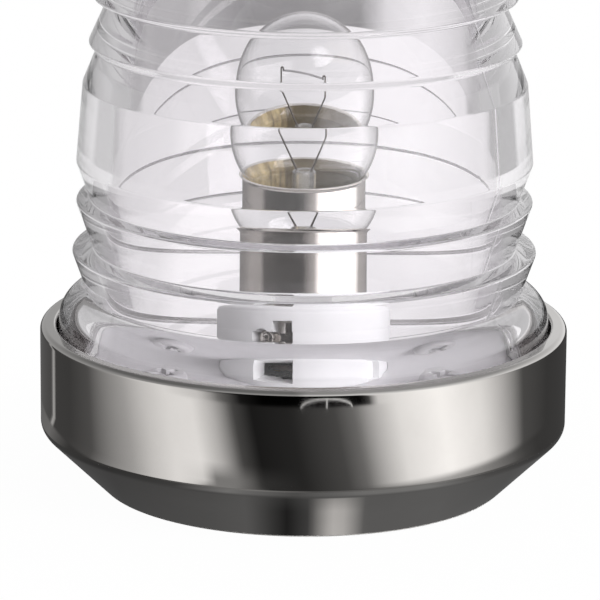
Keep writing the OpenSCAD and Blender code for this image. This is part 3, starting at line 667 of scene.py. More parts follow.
# a pan-head screw, head up: its rounded head is sunk by a cross, its shank is a helix of shallow vees
def screwParts(size):
    cut = screws["cut"]
    headR = size["headD"] / 2
    headH = size["headH"]
    length = size["length"]
    crown = roundedProfile([
        [size["d"] / 2, 0, 0], [headR, 0, 0.08], [headR, headH, headH * cut["round"]], [0, headH, 0]])
    flatTop = np.linspace(1, 0, cut["rings"])[1:]
    inner = np.column_stack([crown[-2, 0] * flatTop, np.full(len(flatTop), headH)])
    angles = aroundAngles(cut["headSides"])
    points, faces = turnedParts(np.concatenate([crown[:-1], inner]), angles, closed=False)
    across = np.abs(points[:, :2])
    arm = np.clip((cut["arm"] * size["headD"] - across.min(1)) / cut["armSoft"], 0, 1)
    span = np.clip((cut["span"] * size["headD"] - across.max(1)) / cut["spanSoft"], 0, 1)
    above = points[:, 2] > headH * cut["from"]
    points[:, 2] -= np.where(above, arm * span * headH * cut["depth"], 0)
    sides = cut["sides"]
    z = np.linspace(0, -length, int(length / size["pitch"] * cut["ringsPerTurn"]) + 1)
    t = aroundAngles(sides)
    wave = (z[:, None] / size["pitch"] + t[None, :] / (2 * math.pi)) % 1.0
    vee = np.abs(wave - 0.5) * 2
    fade = np.clip(-z[:, None] / cut["fadeTop"], 0, 1) * np.clip((z[:, None] + length) / cut["fadeEnd"], 0, 1)
    r = size["d"] / 2 * (cut["body"] - cut["vee"] * vee * fade)
    shank = np.stack([r * np.cos(t), r * np.sin(t), np.repeat(z[:, None], sides, 1)], -1).reshape(-1, 3)
    shankPoints = np.concatenate([shank, np.array([[0, 0, -length]])])
    ring = gridFaces(len(z), sides)[:, ::-1]
    last = (len(z) - 1) * sides + np.arange(sides)
    end = np.stack([np.full(sides, len(shank)), np.roll(last, -1), last, last], 1)
    collar = turnedParts(np.array([[0.0, 0.0], [size["d"] / 2, 0.0]]), angles, closed=False)
    return joined((points, faces), (shankPoints, np.concatenate([ring, end])), collar)


# copies of one screw round the axis
def makeScrews(name, kind):
    size = screws[kind]
    one = screwParts(size)
    held = [placed(one, turn, (size["away"], 0, size["z"]), size["flip"]) for turn in size["turns"]]
    return makePiece(name, joined(*held), screws["cut"]["sharp"])


fit(makeScrews("carrierScrews", "carrier"), "base", "screw_steel", shadedScrewGrey, "carrier_screws")
fit(makeScrews("socketScrews", "socket"), "base", "screw_steel", screwSteel, "socket_screws")
fit(makeScrews("terminalScrews", "terminal"), "base", "screw_steel", screwSteel, "terminal_screws")

spring = {
    "coilR": 1.5, "wireR": 0.25, "low": 10.65, "high": 15.55, "turns": 4.5, "contactR": 3.4, "turn": -29,
    "seat": 10.35, "keep": 0.65, "flatEnds": 0.05, "steps": 200, "sides": 12,
}


# a contact spring: a helix of even pitch, its first and last half turns lying almost flat
def makeSprings():
    s = spring
    t = np.linspace(0, 1, s["steps"])
    rise = t - s["flatEnds"] * np.sin(2 * math.pi * t)
    angle = 2 * math.pi * s["turns"] * t
    height = s["low"] + (s["high"] - s["low"]) * rise
    path = np.stack([s["coilR"] * np.cos(angle), s["coilR"] * np.sin(angle), height], 1)
    coil = tubeParts(path, s["wireR"], s["sides"])
    return makePiece("contactSprings", inPair(coil, s["turn"], s["contactR"]))


springs = fit(makeSprings(), "base", "spring_steel", springSteel, "contact_springs")
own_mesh(springs)
fit(smoothCopy("contact_disc", "contactDisc"), "contact_plunger", "disc_brown", discBrown, "contact_disc")

stud = {
    "foot": 13.85, "discTop": 17.85, "top": 18.45, "stemR": 0.9, "headR": 1.5, "contactR": 3.4, "turn": -29,
    "segments": 48,
}


# the contact studs: a stem through the disc under a wider head
def makeStuds():
    s = stud
    rows = [
        [0, s["foot"], 0], [s["stemR"], s["foot"], 0.3], [s["stemR"], s["discTop"], 0],
        [s["headR"], s["discTop"], 0.05], [s["headR"], s["top"], 0.3], [0, s["top"], 0],
    ]
    one = lathe(rows, s["segments"], near=0.06, longRun=0.4, closed=False)
    return makePiece("contactStuds", inPair(one, s["turn"], s["contactR"]))


fit(makeStuds(), "contact_plunger", "contact_brass", contactBrass, "contact_studs")

seal = {"inR": 27.15, "outR": 29.95, "foot": 14.55, "top": 16.05, "round": 0.3, "segments": 240}


# the seal: a flat ring with rounded edges
def makeSeal():
    s = seal
    rows = [
        [s["inR"], s["foot"], s["round"]], [s["outR"], s["foot"], s["round"]],
        [s["outR"], s["top"], s["round"]], [s["inR"], s["top"], s["round"]],
    ]
    return makePiece("lensSeal", lathe(rows, s["segments"]))


fit(makeSeal(), "seal_ring", "seal_rubber", sealRubber, "lens_seal")

lens = {
    "skirtR": 30.0, "skirtBoreR": 26.8, "skirtFoot": 16.1, "baseH": 20.0, "beadFoot": 0.6, "beadH": 4.1,
    "firstRibH": 5.3, "ribInset": 1.6, "lowPitch": 6.2, "lowFlankH": 4.8, "bellyH": 9.6, "bellyProud": 0.3,
    "highFlankH": 5.0, "highPitch": 5.6, "taper": 4.8, "lowSlope": 19.5, "flankSlope": 22.5,
    "highSlope": 24.5, "topSlope": 23.0, "lowRise": 0.35, "highRise": 0.8, "topRise": 0.45, "bellyWall": 4.0,
    "boreDraft": 2.5, "neckDraft": 8.0,
    "ribRound": 0.3, "edgeRound": 0.3, "crownH": 6.5, "crownT": 3.0, "crownRise": 1.0, "crownRound": 5.0,
    "segments": 220, "near": 0.1, "longRun": 0.8, "sharp": 60,
    "seamTurn": -34.2, "seamProud": 0.025, "seamWide": 0.18, "seamR": 27.0, "seamNear": 0.03, "seamSteps": 25,
    "seamAbove": 1.0, "seamFromR": 12.0,
}


# the run sideways for each step of height, at an angle in degrees
def slope(degrees):
    return math.tan(math.radians(degrees))


# outline of the lens: bead, two falling prisms, belly, two rising prisms and crown, then the bore downwards
def lensRows():
    g = lens
    fall = slope(g["lowSlope"])
    flankFall = slope(g["flankSlope"])
    highFall = slope(g["highSlope"])
    neckZ = g["baseH"] + g["beadH"]
    firstZ = neckZ + g["firstRibH"]
    secondZ = firstZ + g["lowPitch"]
    bellyFoot = secondZ + g["lowFlankH"]
    bellyTop = bellyFoot + g["bellyH"]
    thirdZ = bellyTop + g["highFlankH"]
    fourthZ = thirdZ + g["highPitch"]
    crownFoot = fourthZ + g["highPitch"] - g["highRise"]
    middle = (bellyFoot + bellyTop) / 2

    def ribEdge(z):
        return g["skirtR"] - g["ribInset"] - (z - firstZ) * slope(g["taper"])

    boreMiddle = ribEdge(middle) + g["bellyProud"] - g["bellyWall"]

    def bore(z):
        return boreMiddle - (z - middle) * slope(g["boreDraft"])

    beadTopR = ribEdge(firstZ) - g["firstRibH"] * fall
    crownR = ribEdge(fourthZ) - (crownFoot - fourthZ) * slope(g["topSlope"])
    hollowR = bore(crownFoot)
    hollowH = g["crownH"] - g["crownT"]
    lowR = ribEdge(bellyFoot) + g["bellyProud"]
    highR = ribEdge(bellyTop) + g["bellyProud"]
    low = g["lowRise"]
    high = g["highRise"]
    rib = g["ribRound"]
    beadFoot = g["baseH"] + g["beadFoot"]
    foot = [[r, g["skirtFoot"], g["edgeRound"]] for r in (g["skirtBoreR"], g["skirtR"])]
    bead = quarterRound(beadTopR, beadFoot, g["skirtR"] - beadTopR, g["beadH"] - g["beadFoot"])
    ribs = [
        [ribEdge(firstZ), firstZ, rib],
        [ribEdge(secondZ) - (g["lowPitch"] - low) * fall, firstZ + low, rib / 2],
        [ribEdge(secondZ), secondZ, rib],
        [lowR - (g["lowFlankH"] - low) * fall, secondZ + low, rib / 2],
        [lowR, bellyFoot, 2 * rib],
        [highR, bellyTop, 2 * rib],
        [highR - (g["highFlankH"] - high) * flankFall, thirdZ - high, rib],
        [ribEdge(thirdZ), thirdZ, rib],
        [ribEdge(thirdZ) - (g["highPitch"] - g["topRise"]) * highFall, fourthZ - g["topRise"], rib],
        [ribEdge(fourthZ), fourthZ, rib],
    ]
    crown = quarterRound(crownR - g["crownRound"], crownFoot, g["crownRound"], g["crownH"] - g["crownRise"])
    top = domeRows(crownR - g["crownRound"], crownFoot + g["crownH"], g["crownRise"])
    underTop = domeRows(hollowR - hollowH, crownFoot + hollowH, g["crownRise"])[::-1]
    hollow = quarterRound(hollowR - hollowH, crownFoot, hollowH, hollowH - g["crownRise"])[::-1]
    neckR = bore(firstZ) + g["firstRibH"] * slope(g["neckDraft"])
    neck = [
        [bore(firstZ), firstZ, g["firstRibH"]], [neckR, neckZ, g["beadH"] / 2],
        [g["skirtBoreR"], beadFoot, g["beadH"] / 2],
    ]
    return np.concatenate([foot, bead, ribs, crown, top, underTop, hollow, neck])


# angles round the lens, even, with extra ones close to the mould's parting line
def lensAngles():
    near = np.linspace(-lens["seamNear"], lens["seamNear"], lens["seamSteps"])
    both = np.concatenate([aroundAngles(lens["segments"]), math.radians(lens["seamTurn"]) + near])
    return np.unique(np.round(both % (2 * math.pi), 7))


# the parting line stands out from the outer faces as a narrow bell, nothing on the bore
def seamReach(profile, angles):
    turn = (angles - math.radians(lens["seamTurn"]) + math.pi) % (2 * math.pi) - math.pi
    bell = np.exp(-(turn * lens["seamR"] / lens["seamWide"]) ** 2)
    outer = np.arange(len(profile)) < np.argmin(profile[:, 0])
    high = profile[:, 1] > lens["baseH"] + lens["seamAbove"]
    shown = outer & high & (profile[:, 0] > lens["seamFromR"])
    return lens["seamProud"] * shown[:, None] * bell[None, :]


# the lens: its outline turned about the axis, with the parting line on it
def makeLens():
    profile = withSupport(roundedProfile(lensRows()), lens["near"], lens["longRun"])
    return makePiece("prismLens", turnedParts(profile, lensAngles(), reach=seamReach), lens["sharp"])


fit(makeLens(), "screw_lens", "lens_clear", lensClear, "lens")

bulb = {
    "globeR": 9.05, "globeZ": 43.28, "neckR": 6.6, "neckFoot": 31.0, "wall": 0.2, "neckSoft": 0.9,
    "capR": 7.55, "capFoot": 19.2, "lip": 38.2, "lipOut": 0.5, "lipIn": 0.4, "lipH": 0.45, "flareH": 0.95,
    "capWall": 0.4, "footIn": 1.9, "pinZ": 25.7, "pinTurn": -119, "pinR": 0.95, "pinEnd": 8.9, "pinIn": 0.3,
    "dimple": 0.12, "segments": 192, "arcSteps": 48, "pinSegments": 40, "sharp": 50,
}


# the bulb's glass: a globe cut at the neck, the neck straight below it, and the same again inside
def makeGlobe():
    def arc(r, cut):
        turn = np.linspace(-math.acos(cut / r), math.pi / 2, bulb["arcSteps"])
        points = np.stack([r * np.cos(turn), bulb["globeZ"] + r * np.sin(turn)], 1)
        points[-1, 0] = 0.0
        return points

    neckIn = bulb["neckR"] - bulb["wall"]
    outer = arc(bulb["globeR"], bulb["neckR"])
    inner = arc(bulb["globeR"] - bulb["wall"], neckIn)
    bend = [[bulb["neckR"], outer[0, 1] - bulb["neckSoft"]]]  # the neck flows into the globe
    foot = [[neckIn, bulb["neckFoot"]], [bulb["neckR"], bulb["neckFoot"]]]
    profile = withSupport(np.concatenate([foot, bend, outer, inner[::-1]]), near=0.1, longRun=1.5)
    return makePiece("bulbGlobe", turnedParts(profile, aroundAngles(bulb["segments"])), bulb["sharp"])


fit(makeGlobe(), "bulb", "bulb_glass", bulbClear, "bulb_glass")


# the bulb's cap: a thin cup whose lip flares out
def makeCap():
    c = bulb
    boreR = c["capR"] - c["capWall"]
    footR = c["capR"] - c["footIn"]
    floor = c["capFoot"] + c["capWall"]
    rows = [
        [footR, c["capFoot"], 0.1], [c["capR"], c["capFoot"], 1.2], [c["capR"], c["lip"] - c["lipH"], 0.5],
        [c["capR"] + c["lipOut"], c["lip"], 0.06], [boreR + c["lipIn"], c["lip"], 0.06],
        [boreR, c["lip"] - c["flareH"], 0.3], [boreR, floor, 0.9], [footR, floor, 0.1],
    ]
    return makePiece("bulbCap", lathe(rows, c["segments"]), c["sharp"])


fit(makeCap(), "bulb", "cap_nickel", capNickel, "bulb_cap")


# the two pins: turned upright with a dimple in the end, then laid on their sides
def makePins():
    p = bulb
    inside = p["capR"] - p["capWall"] - p["pinIn"]
    r = p["pinR"]
    end = p["pinEnd"] - inside
    sunk = end - p["dimple"]
    rows = [[0, 0, 0], [r, 0, 0], [r, end, 0.3], [r * 0.45, end, 0.1], [r * 0.3, sunk, 0.05], [0, sunk, 0]]
    points, faces = lathe(rows, p["pinSegments"], near=0.05, longRun=0.3, closed=False)
    laid = np.stack([points[:, 2] + inside, points[:, 1], -points[:, 0] + p["pinZ"]], 1)
    return makePiece("bayonetPins", inPair((laid, faces), p["pinTurn"]))


fit(makePins(), "bulb", "cap_nickel", capNickel, "bayonet_pins")

cement = {
    "inR": 6.66, "outR": 7.12, "foot": 31.4, "top": 37.0, "shoulder": 37.3, "shoulderR": 6.9,
    "brim": 38.07, "brimInR": 7.42, "brimOutR": 7.47, "brimH": 0.1, "segments": 180,
    "uneven": 0.05, "waves": [(0.5, 5, 0.4), (0.3, 11, 1.9), (0.2, 23, 4.0)],
}


# cement between neck and cap: a ring whose thin brim runs up the flare and wanders on a few sine waves
def makeCement():
    c = cement
    rows = np.array([
        [c["inR"], c["foot"]], [c["outR"], c["foot"]], [c["outR"], c["shoulder"]], [c["brimOutR"], c["brim"]],
        [c["brimInR"], c["brim"]], [c["shoulderR"], c["shoulder"]], [c["inR"], c["top"]]])
    points, faces = turnedParts(withSupport(rows), aroundAngles(c["segments"]))
    turn = np.arctan2(points[:, 1], points[:, 0])
    wave = sum(size * np.sin(count * turn + start) for size, count, start in c["waves"])
    high = points[:, 2] > c["brim"] - c["brimH"]
    points[:, 2] += np.where(high, c["uneven"] * wave, 0)
    return makePiece("basingCement", (points, faces))


fit(makeCement(), "bulb", "cement", cementBrown, "basing_cement")

stem = {
    "foot": 31.0, "shoulder": 33.4, "top": 38.6, "stemR": 1.5, "flareR": 5.85, "flareT": 0.9,
    "boreR": 0.7, "boreFoot": 36.2, "segments": 96, "sharp": 50,
}


# the glass stem: a bored rod on a flared skirt
def makeStem():
    s = stem
    under = s["shoulder"] - s["flareT"]
    rows = [
        [0, under, 0], [s["stemR"], under, 1.0], [s["flareR"] - s["flareT"], s["foot"], 0],
        [s["flareR"], s["foot"], 0], [s["stemR"], s["shoulder"], 1.4], [s["stemR"], s["top"], 0.5],
        [s["boreR"], s["top"], 0.15], [s["boreR"], s["boreFoot"], 0.3], [0, s["boreFoot"], 0],
    ]
    parts = lathe(rows, s["segments"], near=0.06, longRun=0.5, closed=False)
    return makePiece("glassStem", parts, s["sharp"])


fit(makeStem(), "bulb", "bulb_glass", stemMilky, "glass_stem")

wires = {
    "turn": -24.0, "contactTurn": -29.0, "contactR": 3.4, "leadR": 0.95, "near": 2.9, "far": 3.4,
    "wireR": 0.14, "low": 20.85, "bend": 25.7, "neck": 31.0, "stemTop": 38.5, "elbow": 43.0,
    "filamentZ": 44.6, "soft": 0.3, "straight": 1.5, "hookUp": 0.4, "hookDown": 0.1, "hookOut": 0.02,
    "hookIn": 0.3, "hookEnd": 0.32, "thinner": 0.25, "thinOver": 2.0, "sides": 12,
}


# a lead: up from its contact, through the stem, out to the filament's end, and round it in a small hook
def makeLeads():
    w = wires
    r = w["leadR"]
    soft = w["soft"]
    top = w["filamentZ"] + w["hookUp"]
    end = w["filamentZ"] - w["hookDown"]
    parts = []
    for side, half in ((0, w["near"]), (180, w["far"])):
        lean = soft * (half - r) / (w["elbow"] - w["stemTop"])
        below = [(w["contactR"], w["low"]), (w["contactR"], w["bend"])]
        above = [
            (r, w["neck"]), (r, w["neck"] + w["straight"]), (r, w["stemTop"] - soft), (r, w["stemTop"]),
            (r + lean, w["stemTop"] + soft), (half - lean, w["elbow"] - soft), (half, w["elbow"]),
            (half, w["elbow"] + soft), (half, end), (half + w["hookOut"], top), (half - w["hookIn"], top),
            (half - w["hookEnd"], end),
        ]
        away, height = np.array(below + above).T
        turn = np.radians([w["contactTurn"] + side] * len(below) + [w["turn"] + side] * len(above))
        path = smoothPath(np.stack([away * np.cos(turn), away * np.sin(turn), height], 1))
        thin = np.clip((path[:, 2] - w["stemTop"]) / w["thinOver"], 0, 1)
        parts.append(tubeParts(path, w["wireR"] * (1 - w["thinner"] * thin), w["sides"]))
    return makePiece("supportWires", joined(*parts))


fit(makeLeads(), "bulb", "wire_metal", wireMetal, "support_wires")

filament = {
    "turn": -24.0, "half": 2.95, "shift": -0.25, "z": 44.6, "bow": 0.2, "coilR": 0.11, "wireR": 0.035,
    "turns": 46, "stepsPerTurn": 14, "sides": 7,
}


# the filament: a fine coil wound on a bowed line, x from end to end, height = bow (1 - x x)
def makeFilament():
    f = filament
    t = np.linspace(-1, 1, f["turns"] * f["stepsPerTurn"])
    line = np.stack([f["shift"] + t * f["half"], 0 * t, f["z"] + f["bow"] * (1 - t * t)], 1)
    turn = math.pi * f["turns"] * t
    coil = line + f["coilR"] * np.stack([0 * t, np.cos(turn), np.sin(turn)], 1)
    return makePiece("filamentCoil", placed(tubeParts(coil, f["wireR"], f["sides"]), f["turn"]))


fit(makeFilament(), "bulb", "wire_metal", filamentGrey, "filament")

contacts = {
    "r": 6.15, "foot": 19.65, "top": 20.8, "dish": 0.1, "dishIn": 0.6, "segments": 96,
    "contactR": 3.4, "turn": -29, "headR": 1.4, "solder": 0.7, "sunk": 0.4, "domed": 0.45, "headSegments": 48,
}


# the insulator: a flat plug in the cap's foot
def makeInsulator():
    c = contacts
    rows = [
        [0, c["foot"] - c["dish"], 0], [c["r"] - c["dishIn"], c["foot"], 0.2], [c["r"], c["foot"], 0.2],
        [c["r"], c["top"], 0.3], [0, c["top"], 0],
    ]
    return makePiece("capInsulator", lathe(rows, c["segments"], near=0.08, longRun=0.5, closed=False))


fit(makeInsulator(), "bulb", "insulator_black", insulatorBlack, "cap_insulator")


# a solder contact: a low rounded button under the cap's foot
def makeContacts():
    c = contacts
    foot = bulb["capFoot"]
    rows = [
        [0, foot - c["solder"], 0], [c["headR"], foot - c["solder"], 0.45],
        [c["headR"], foot + c["sunk"], 0.1], [0, foot + c["domed"], 0],
    ]
    one = lathe(rows, c["headSegments"], near=0.05, longRun=0.3, closed=False)
    return makePiece("capContacts", inPair(one, c["turn"], c["contactR"]))


fit(makeContacts(), "bulb", "solder", solderGrey, "cap_contacts")

studio = {
    "floorSize": 6000.0, "floorShade": 0.02, "near": 0.03, "far": 0.08, "floorCloud": 30.0,
    "floorTint": (0.84, 0.88), "skirtFoot": 0.1, "skirtR": 45.0, "footIn": 25.0, "tentR": 57.0,
    "tentTop": 20.0, "tentLean": 0.5, "leanFrom": 7.0, "leanHeld": (1.0, 1.7), "tentWarm": 0.012,
    "segments": 240, "footSegments": 120,
    "hoop": {
        "r": 56.6, "turn": 5.0, "halfTurn": 5.4, "z": 11.1, "high": 1.15, "wire": 0.11, "post": 1.6,
        "glow": 1.1, "steps": 60, "postSteps": 8, "sides": 8,
    },
    "capCardR": 62.0, "capCardTop": 48.0, "capCardFoot": 0.5, "capWarm": 0.01,
    "worldSoft": 0.55,
    # painted shade on the floor seen through the lens: dark just behind the object where its shadow falls,
    # lighter to the right
    "close": [(-0.06, 0.52), (-0.03, 0.48), (-0.016, 0.3), (0.014, 0.28), (0.022, 0.85), (0.035, 1.03),
              (0.055, 0.85), (0.068, 0.55)],
    "distant": [(-0.66, 0.62), (-0.59, 0.86), (-0.32, 0.88), (-0.16, 0.84), (0.0, 0.93), (0.18, 1.1),
                (0.32, 1.1), (0.56, 0.98), (0.63, 0.5)],
    "closeHalf": 0.1, "under": 0.8, "underEdge": (0.068, 0.08), "apart": (0.115, 0.165),
    "caught": [(-0.3, 0.62), (0.3, 0.45)],
    "sides": [(-0.4, 0.86), (0.0, 0.9), (0.12, 1.02), (0.4, 1.0)],
    "softbox": {"way": (0.407, -0.235, 0.883), "in": 4.0, "out": 18.0, "glow": 5.0},
    "rimSides": [(-0.4, 0.45), (-0.05, 0.5), (0.03, 0.9), (0.4, 1.0)],
    "overhead": [(0.0, 1.0), (0.18, 1.0), (0.42, 0.75), (0.7, 0.42), (1.0, 0.45)],
    "overLens": [(0.0, 1.0), (0.18, 1.0), (0.3, 1.08), (0.45, 1.02), (0.7, 0.68), (1.0, 0.68)],
    "white": (1.0, 1.0, 1.0, 1.0),
}


# a grey, warmer with more red and less blue
def grey(value, warm=0.0):
    return (value * (1 + warm), value, value * (1 - warm))


# greys at turns, each row a turn, a grey and, where it has any, its warmth
def tones(rows):
    return [(row[0], grey(*row[1:])) for row in rows]


# a ramp of colours over places from low to high, by the share of the way
def colourRamp(tree, share, low, high, stops):
    ramp = addNode(tree, "ShaderNodeValToRGB", {"Fac": share})
    marks = ramp.color_ramp.elements
    while len(marks) < len(stops):
        marks.new(0.5)
    for mark, (place, colour) in zip(marks, sorted(stops)):
        mark.position = (place - low) / (high - low)
        mark.color = rgba(colour)
    return ramp.outputs["Color"]


# a ramp of greys over a value
def greyRamp(tree, value, low, high, stops):
    return colourRamp(tree, ranged(tree, value, low, high), low, high, tones(stops))


# a ring of light and dark bands: the turn runs once round from behind over the left and leans with height
def bandMaterial(name, stops, throughLens=False, lean=0.0, layers=()):
    material = bpy.data.materials.new(name)
    tree, end = emptyTree(material)
    x, y, z = split(tree, tree.nodes.new("ShaderNodeTexCoord").outputs["Object"])
    angle = maths(tree, "ARCTAN2", x, maths(tree, "MULTIPLY", y, -1.0))
    hold = ranged(tree, maths(tree, "ABSOLUTE", angle), *studio["leanHeld"], 1.0, 0.0)
    above = maths(tree, "SUBTRACT", z, studio["leanFrom"] * mm)
    leant = maths(tree, "MULTIPLY", above, math.radians(lean) / mm)
    share = ranged(tree, maths(tree, "MULTIPLY_ADD", leant, hold, angle), -math.pi, math.pi)
    shown = colourRamp(tree, share, -180.0, 180.0, stops)
    places = {"height": z, "radius": lengthOf(tree, paired(tree, x, y))}
    for by, start, full, others in layers:  # other bands from a height or a radius on
        beyond = ranged(tree, places[by], start * mm, full * mm)
        shown = mixed(tree, beyond, shown, colourRamp(tree, share, -180.0, 180.0, others))
    glow = addNode(tree, "ShaderNodeEmission", {"Color": shown, "Strength": 1.0})
    past = tree.nodes.new("ShaderNodeBsdfTransparent")
    path = tree.nodes.new("ShaderNodeLightPath").outputs
    if throughLens:  # shown only past three clear faces or more, and after one mirror
        crossed = maths(tree, "GREATER_THAN", path["Transmission Depth"], 2.5)
        mirrored = maths(tree, "MULTIPLY", crossed, path["Glossy Depth"])
        hidden = maths(tree, "SUBTRACT", 1.0, maths(tree, "COMPARE", mirrored, 1.0, 0.5))
    else:
        hidden = maths(tree, "GREATER_THAN", path["Transmission Depth"], 0.5)
    both = shadersMixed(tree, hidden, glow.outputs["Emission"], past.outputs["BSDF"])
    tree.links.new(both, end.inputs["Surface"])
    return material


# where a card round the axis must stand to show at a place on a round wall, both as turns from the front
def cardTurn(onWall, wallR, cardR):
    turn = math.radians(onWall)
    return math.degrees(2 * turn - math.asin(wallR * math.sin(turn) / cardR))


# greys at places on a round wall, as turns of the card that shows there
def wallTones(rows, wallR, cardR, warm):
    return [(cardTurn(onWall, wallR, cardR), grey(value, warm)) for onWall, value in rows]


# straight runs of radius and height turned about the axis
def turnedCard(name, runs, count):
    return makePiece(name, turnedParts(np.array(runs), aroundAngles(count), closed=False))


# a card seen only in reflections
def reflectOnly(card, material):
    card.data.materials.append(material)
    card.visible_camera = False
    card.visible_diffuse = False
    card.visible_transmission = False
    card.visible_shadow = False
    card.visible_volume_scatter = False


# the cards that the cup's wall shows, with other greys at the crest of its dark patch and low down
def makeTent():
    s = studio
    side = [
        (-84.0, 0.12), (-71.2, 0.09), (-70.4, 0.5), (-69.6, 0.5), (-68.8, 0.07), (-61.0, 0.07), (-53.0, 0.12),
        (-41.0, 0.57), (-35.0, 0.95), (-29.5, 1.18),
    ]
    right = [(21.5, 1.25), (31.5, 1.6), (41.5, 1.25), (48.5, 0.68), (55.0, 0.11), (66.0, 0.06), (84.0, 0.06)]
    middle = [(-1.5, 0.03), (7.8, 0.1), (12.2, 0.24), (16.7, 0.75)]
    wall = side + [(-23.2, 1.22), (-18.5, 0.72), (-14.1, 0.1), (-10.0, 0.017)] + middle + right
    crest = side + [
        (-21.0, 0.9), (-16.4, 0.2), (-12.0, 0.013), (-7.0, 0.001), (4.5, 0.001), (14.4, 0.004), (15.8, 0.1),
        (17.4, 0.95)] + right
    low = side + [(-23.5, 1.05), (-20.5, 0.3), (-16.0, 0.3), (-13.0, 0.18), (-10.5, 0.05)] + middle + right
    dim = side + [
        (-25.5, 0.95), (-22.5, 0.3), (-17.0, 0.32), (-13.5, 0.18), (-9.0, 0.035), (0.0, 0.04), (9.0, 0.11),
        (14.0, 0.2), (19.0, 0.33), (26.0, 0.5), (34.0, 0.4), (43.0, 0.22), (52.0, 0.1), (60.0, 0.06),
        (84.0, 0.06)]
    foot = [
        (-84.0, 0.12), (-70.0, 0.2), (-60.0, 0.06), (-34.0, 0.06), (-20.0, 0.22), (-12.0, 0.28), (0.0, 0.13),
        (12.0, 0.22), (26.0, 0.3), (40.0, 0.15), (60.0, 0.06), (84.0, 0.06)]
    behind = tones([(-180.0, 0.9), (-166.0, 1.1), (-150.0, 0.1), (150.0, 0.08), (164.0, 0.95), (180.0, 0.9)])

    def tentTurns(rows):
        return wallTones(rows, base["rimR"], s["tentR"], s["tentWarm"]) + behind

    layers = [
        ("height", 10.95, 11.25, tentTurns(crest)), ("height", 3.4, 1.4, tentTurns(low)),
        ("height", 0.9, 0.0, tentTurns(dim)), ("radius", 53.5, 52.0, tentTurns(foot)),
    ]
    runs = [[s["tentR"], s["tentTop"]], [s["tentR"], s["skirtFoot"]], [s["skirtR"], s["skirtFoot"]]]
    bands = bandMaterial("tentBands", tentTurns(wall), lean=s["tentLean"], layers=layers)
    reflectOnly(turnedCard("tentCards", runs, s["segments"]), bands)


# the card round the foot that the cup's flare shows: a dark card standing for the floor in shade under the
# flare, so its reflection is painted shade, with a painted highlight in its bright band
def makeFootCard():
    spot = tones([
        (-180.0, 0.12), (-60.0, 0.075), (-25.0, 0.12), (-15.0, 0.14), (-8.0, 0.055), (-4.0, 0.02),
        (2.0, 0.08), (8.0, 0.7, 0.02), (11.0, 0.65, 0.02), (17.0, 0.16), (40.0, 0.16), (70.0, 0.11),
        (180.0, 0.12)])
    plain = tones([
        (-180.0, 0.12), (-60.0, 0.075), (-25.0, 0.1), (-15.0, 0.13), (-4.0, 0.075), (8.0, 0.15), (40.0, 0.16),
        (70.0, 0.11), (180.0, 0.12)])
    corner = tones([
        (-180.0, 0.1), (-60.0, 0.05), (-35.0, 0.08), (-20.0, 0.26), (-2.0, 0.12), (15.0, 0.26), (35.0, 0.3),
        (55.0, 0.12), (80.0, 0.07), (180.0, 0.1)])
    runs = [[studio["skirtR"], studio["skirtFoot"]], [studio["footIn"], studio["skirtFoot"]]]
    bands = bandMaterial("footBands", spot, layers=[
        ("radius", 28.0, 31.5, plain), ("radius", 32.0, 36.0, corner)])
    reflectOnly(turnedCard("footCard", runs, studio["footSegments"]), bands)


# a thin bright bow with a post in its middle, on the crest of the wall's dark patch
def makeHoop():
    h = studio["hoop"]
    t = np.linspace(0, math.pi, h["steps"])

    def standing(onWall, height):
        turn = np.radians([cardTurn(a, base["rimR"], h["r"]) for a in onWall])
        return np.stack([h["r"] * np.sin(turn), -h["r"] * np.cos(turn), height], 1)

    arc = standing(h["turn"] + h["halfTurn"] * np.cos(t), h["z"] + h["high"] * np.sin(t))
    rise = np.linspace(0, 1, h["postSteps"])
    post = standing(h["turn"] + 0 * rise, h["z"] + rise * h["high"])
    rods = [tubeParts(arc, h["wire"], h["sides"]), tubeParts(post, h["wire"] * h["post"], h["sides"])]
    glow = tones([(-180.0, h["glow"]), (180.0, h["glow"])])
    reflectOnly(makePiece("hoopCard", joined(*rods)), bandMaterial("hoopGlow", glow))


# the cards that the bulb's cap shows, seen through the lens only
def makeCapCards():
    seen = [
        (-93.0, 0.6), (-86.0, 0.2), (-67.0, 0.28), (-55.0, 0.45), (-42.0, 0.45), (-37.0, 0.08),
        (-20.0, 0.025), (-1.0, 0.03), (10.0, 0.6), (16.0, 3.0), (50.0, 3.0), (60.0, 0.6), (84.0, 0.3),
        (93.0, 0.6),
    ]
    s = studio
    stops = wallTones(seen, bulb["capR"], s["capCardR"], s["capWarm"])
    runs = [[s["capCardR"], s["capCardTop"]], [s["capCardR"], s["capCardFoot"]]]
    card = turnedCard("capCards", runs, s["segments"])
    reflectOnly(card, bandMaterial("capBands", stops, throughLens=True))
    card.visible_transmission = True
    card.visible_glossy = False


makeTent()
makeFootCard()
makeHoop()
makeCapCards()


# light turned more than once inside the lens: a plain grey, lighter to the left
def caughtLight(tree, path, sideways, plain):
    turned = maths(tree, "GREATER_THAN", path["Glossy Depth"], 1.5)
    deep = maths(tree, "MULTIPLY", turned, path["Is Transmission Ray"])
    return mixed(tree, deep, plain, greyRamp(tree, sideways, -1.0, 1.0, studio["caught"]))
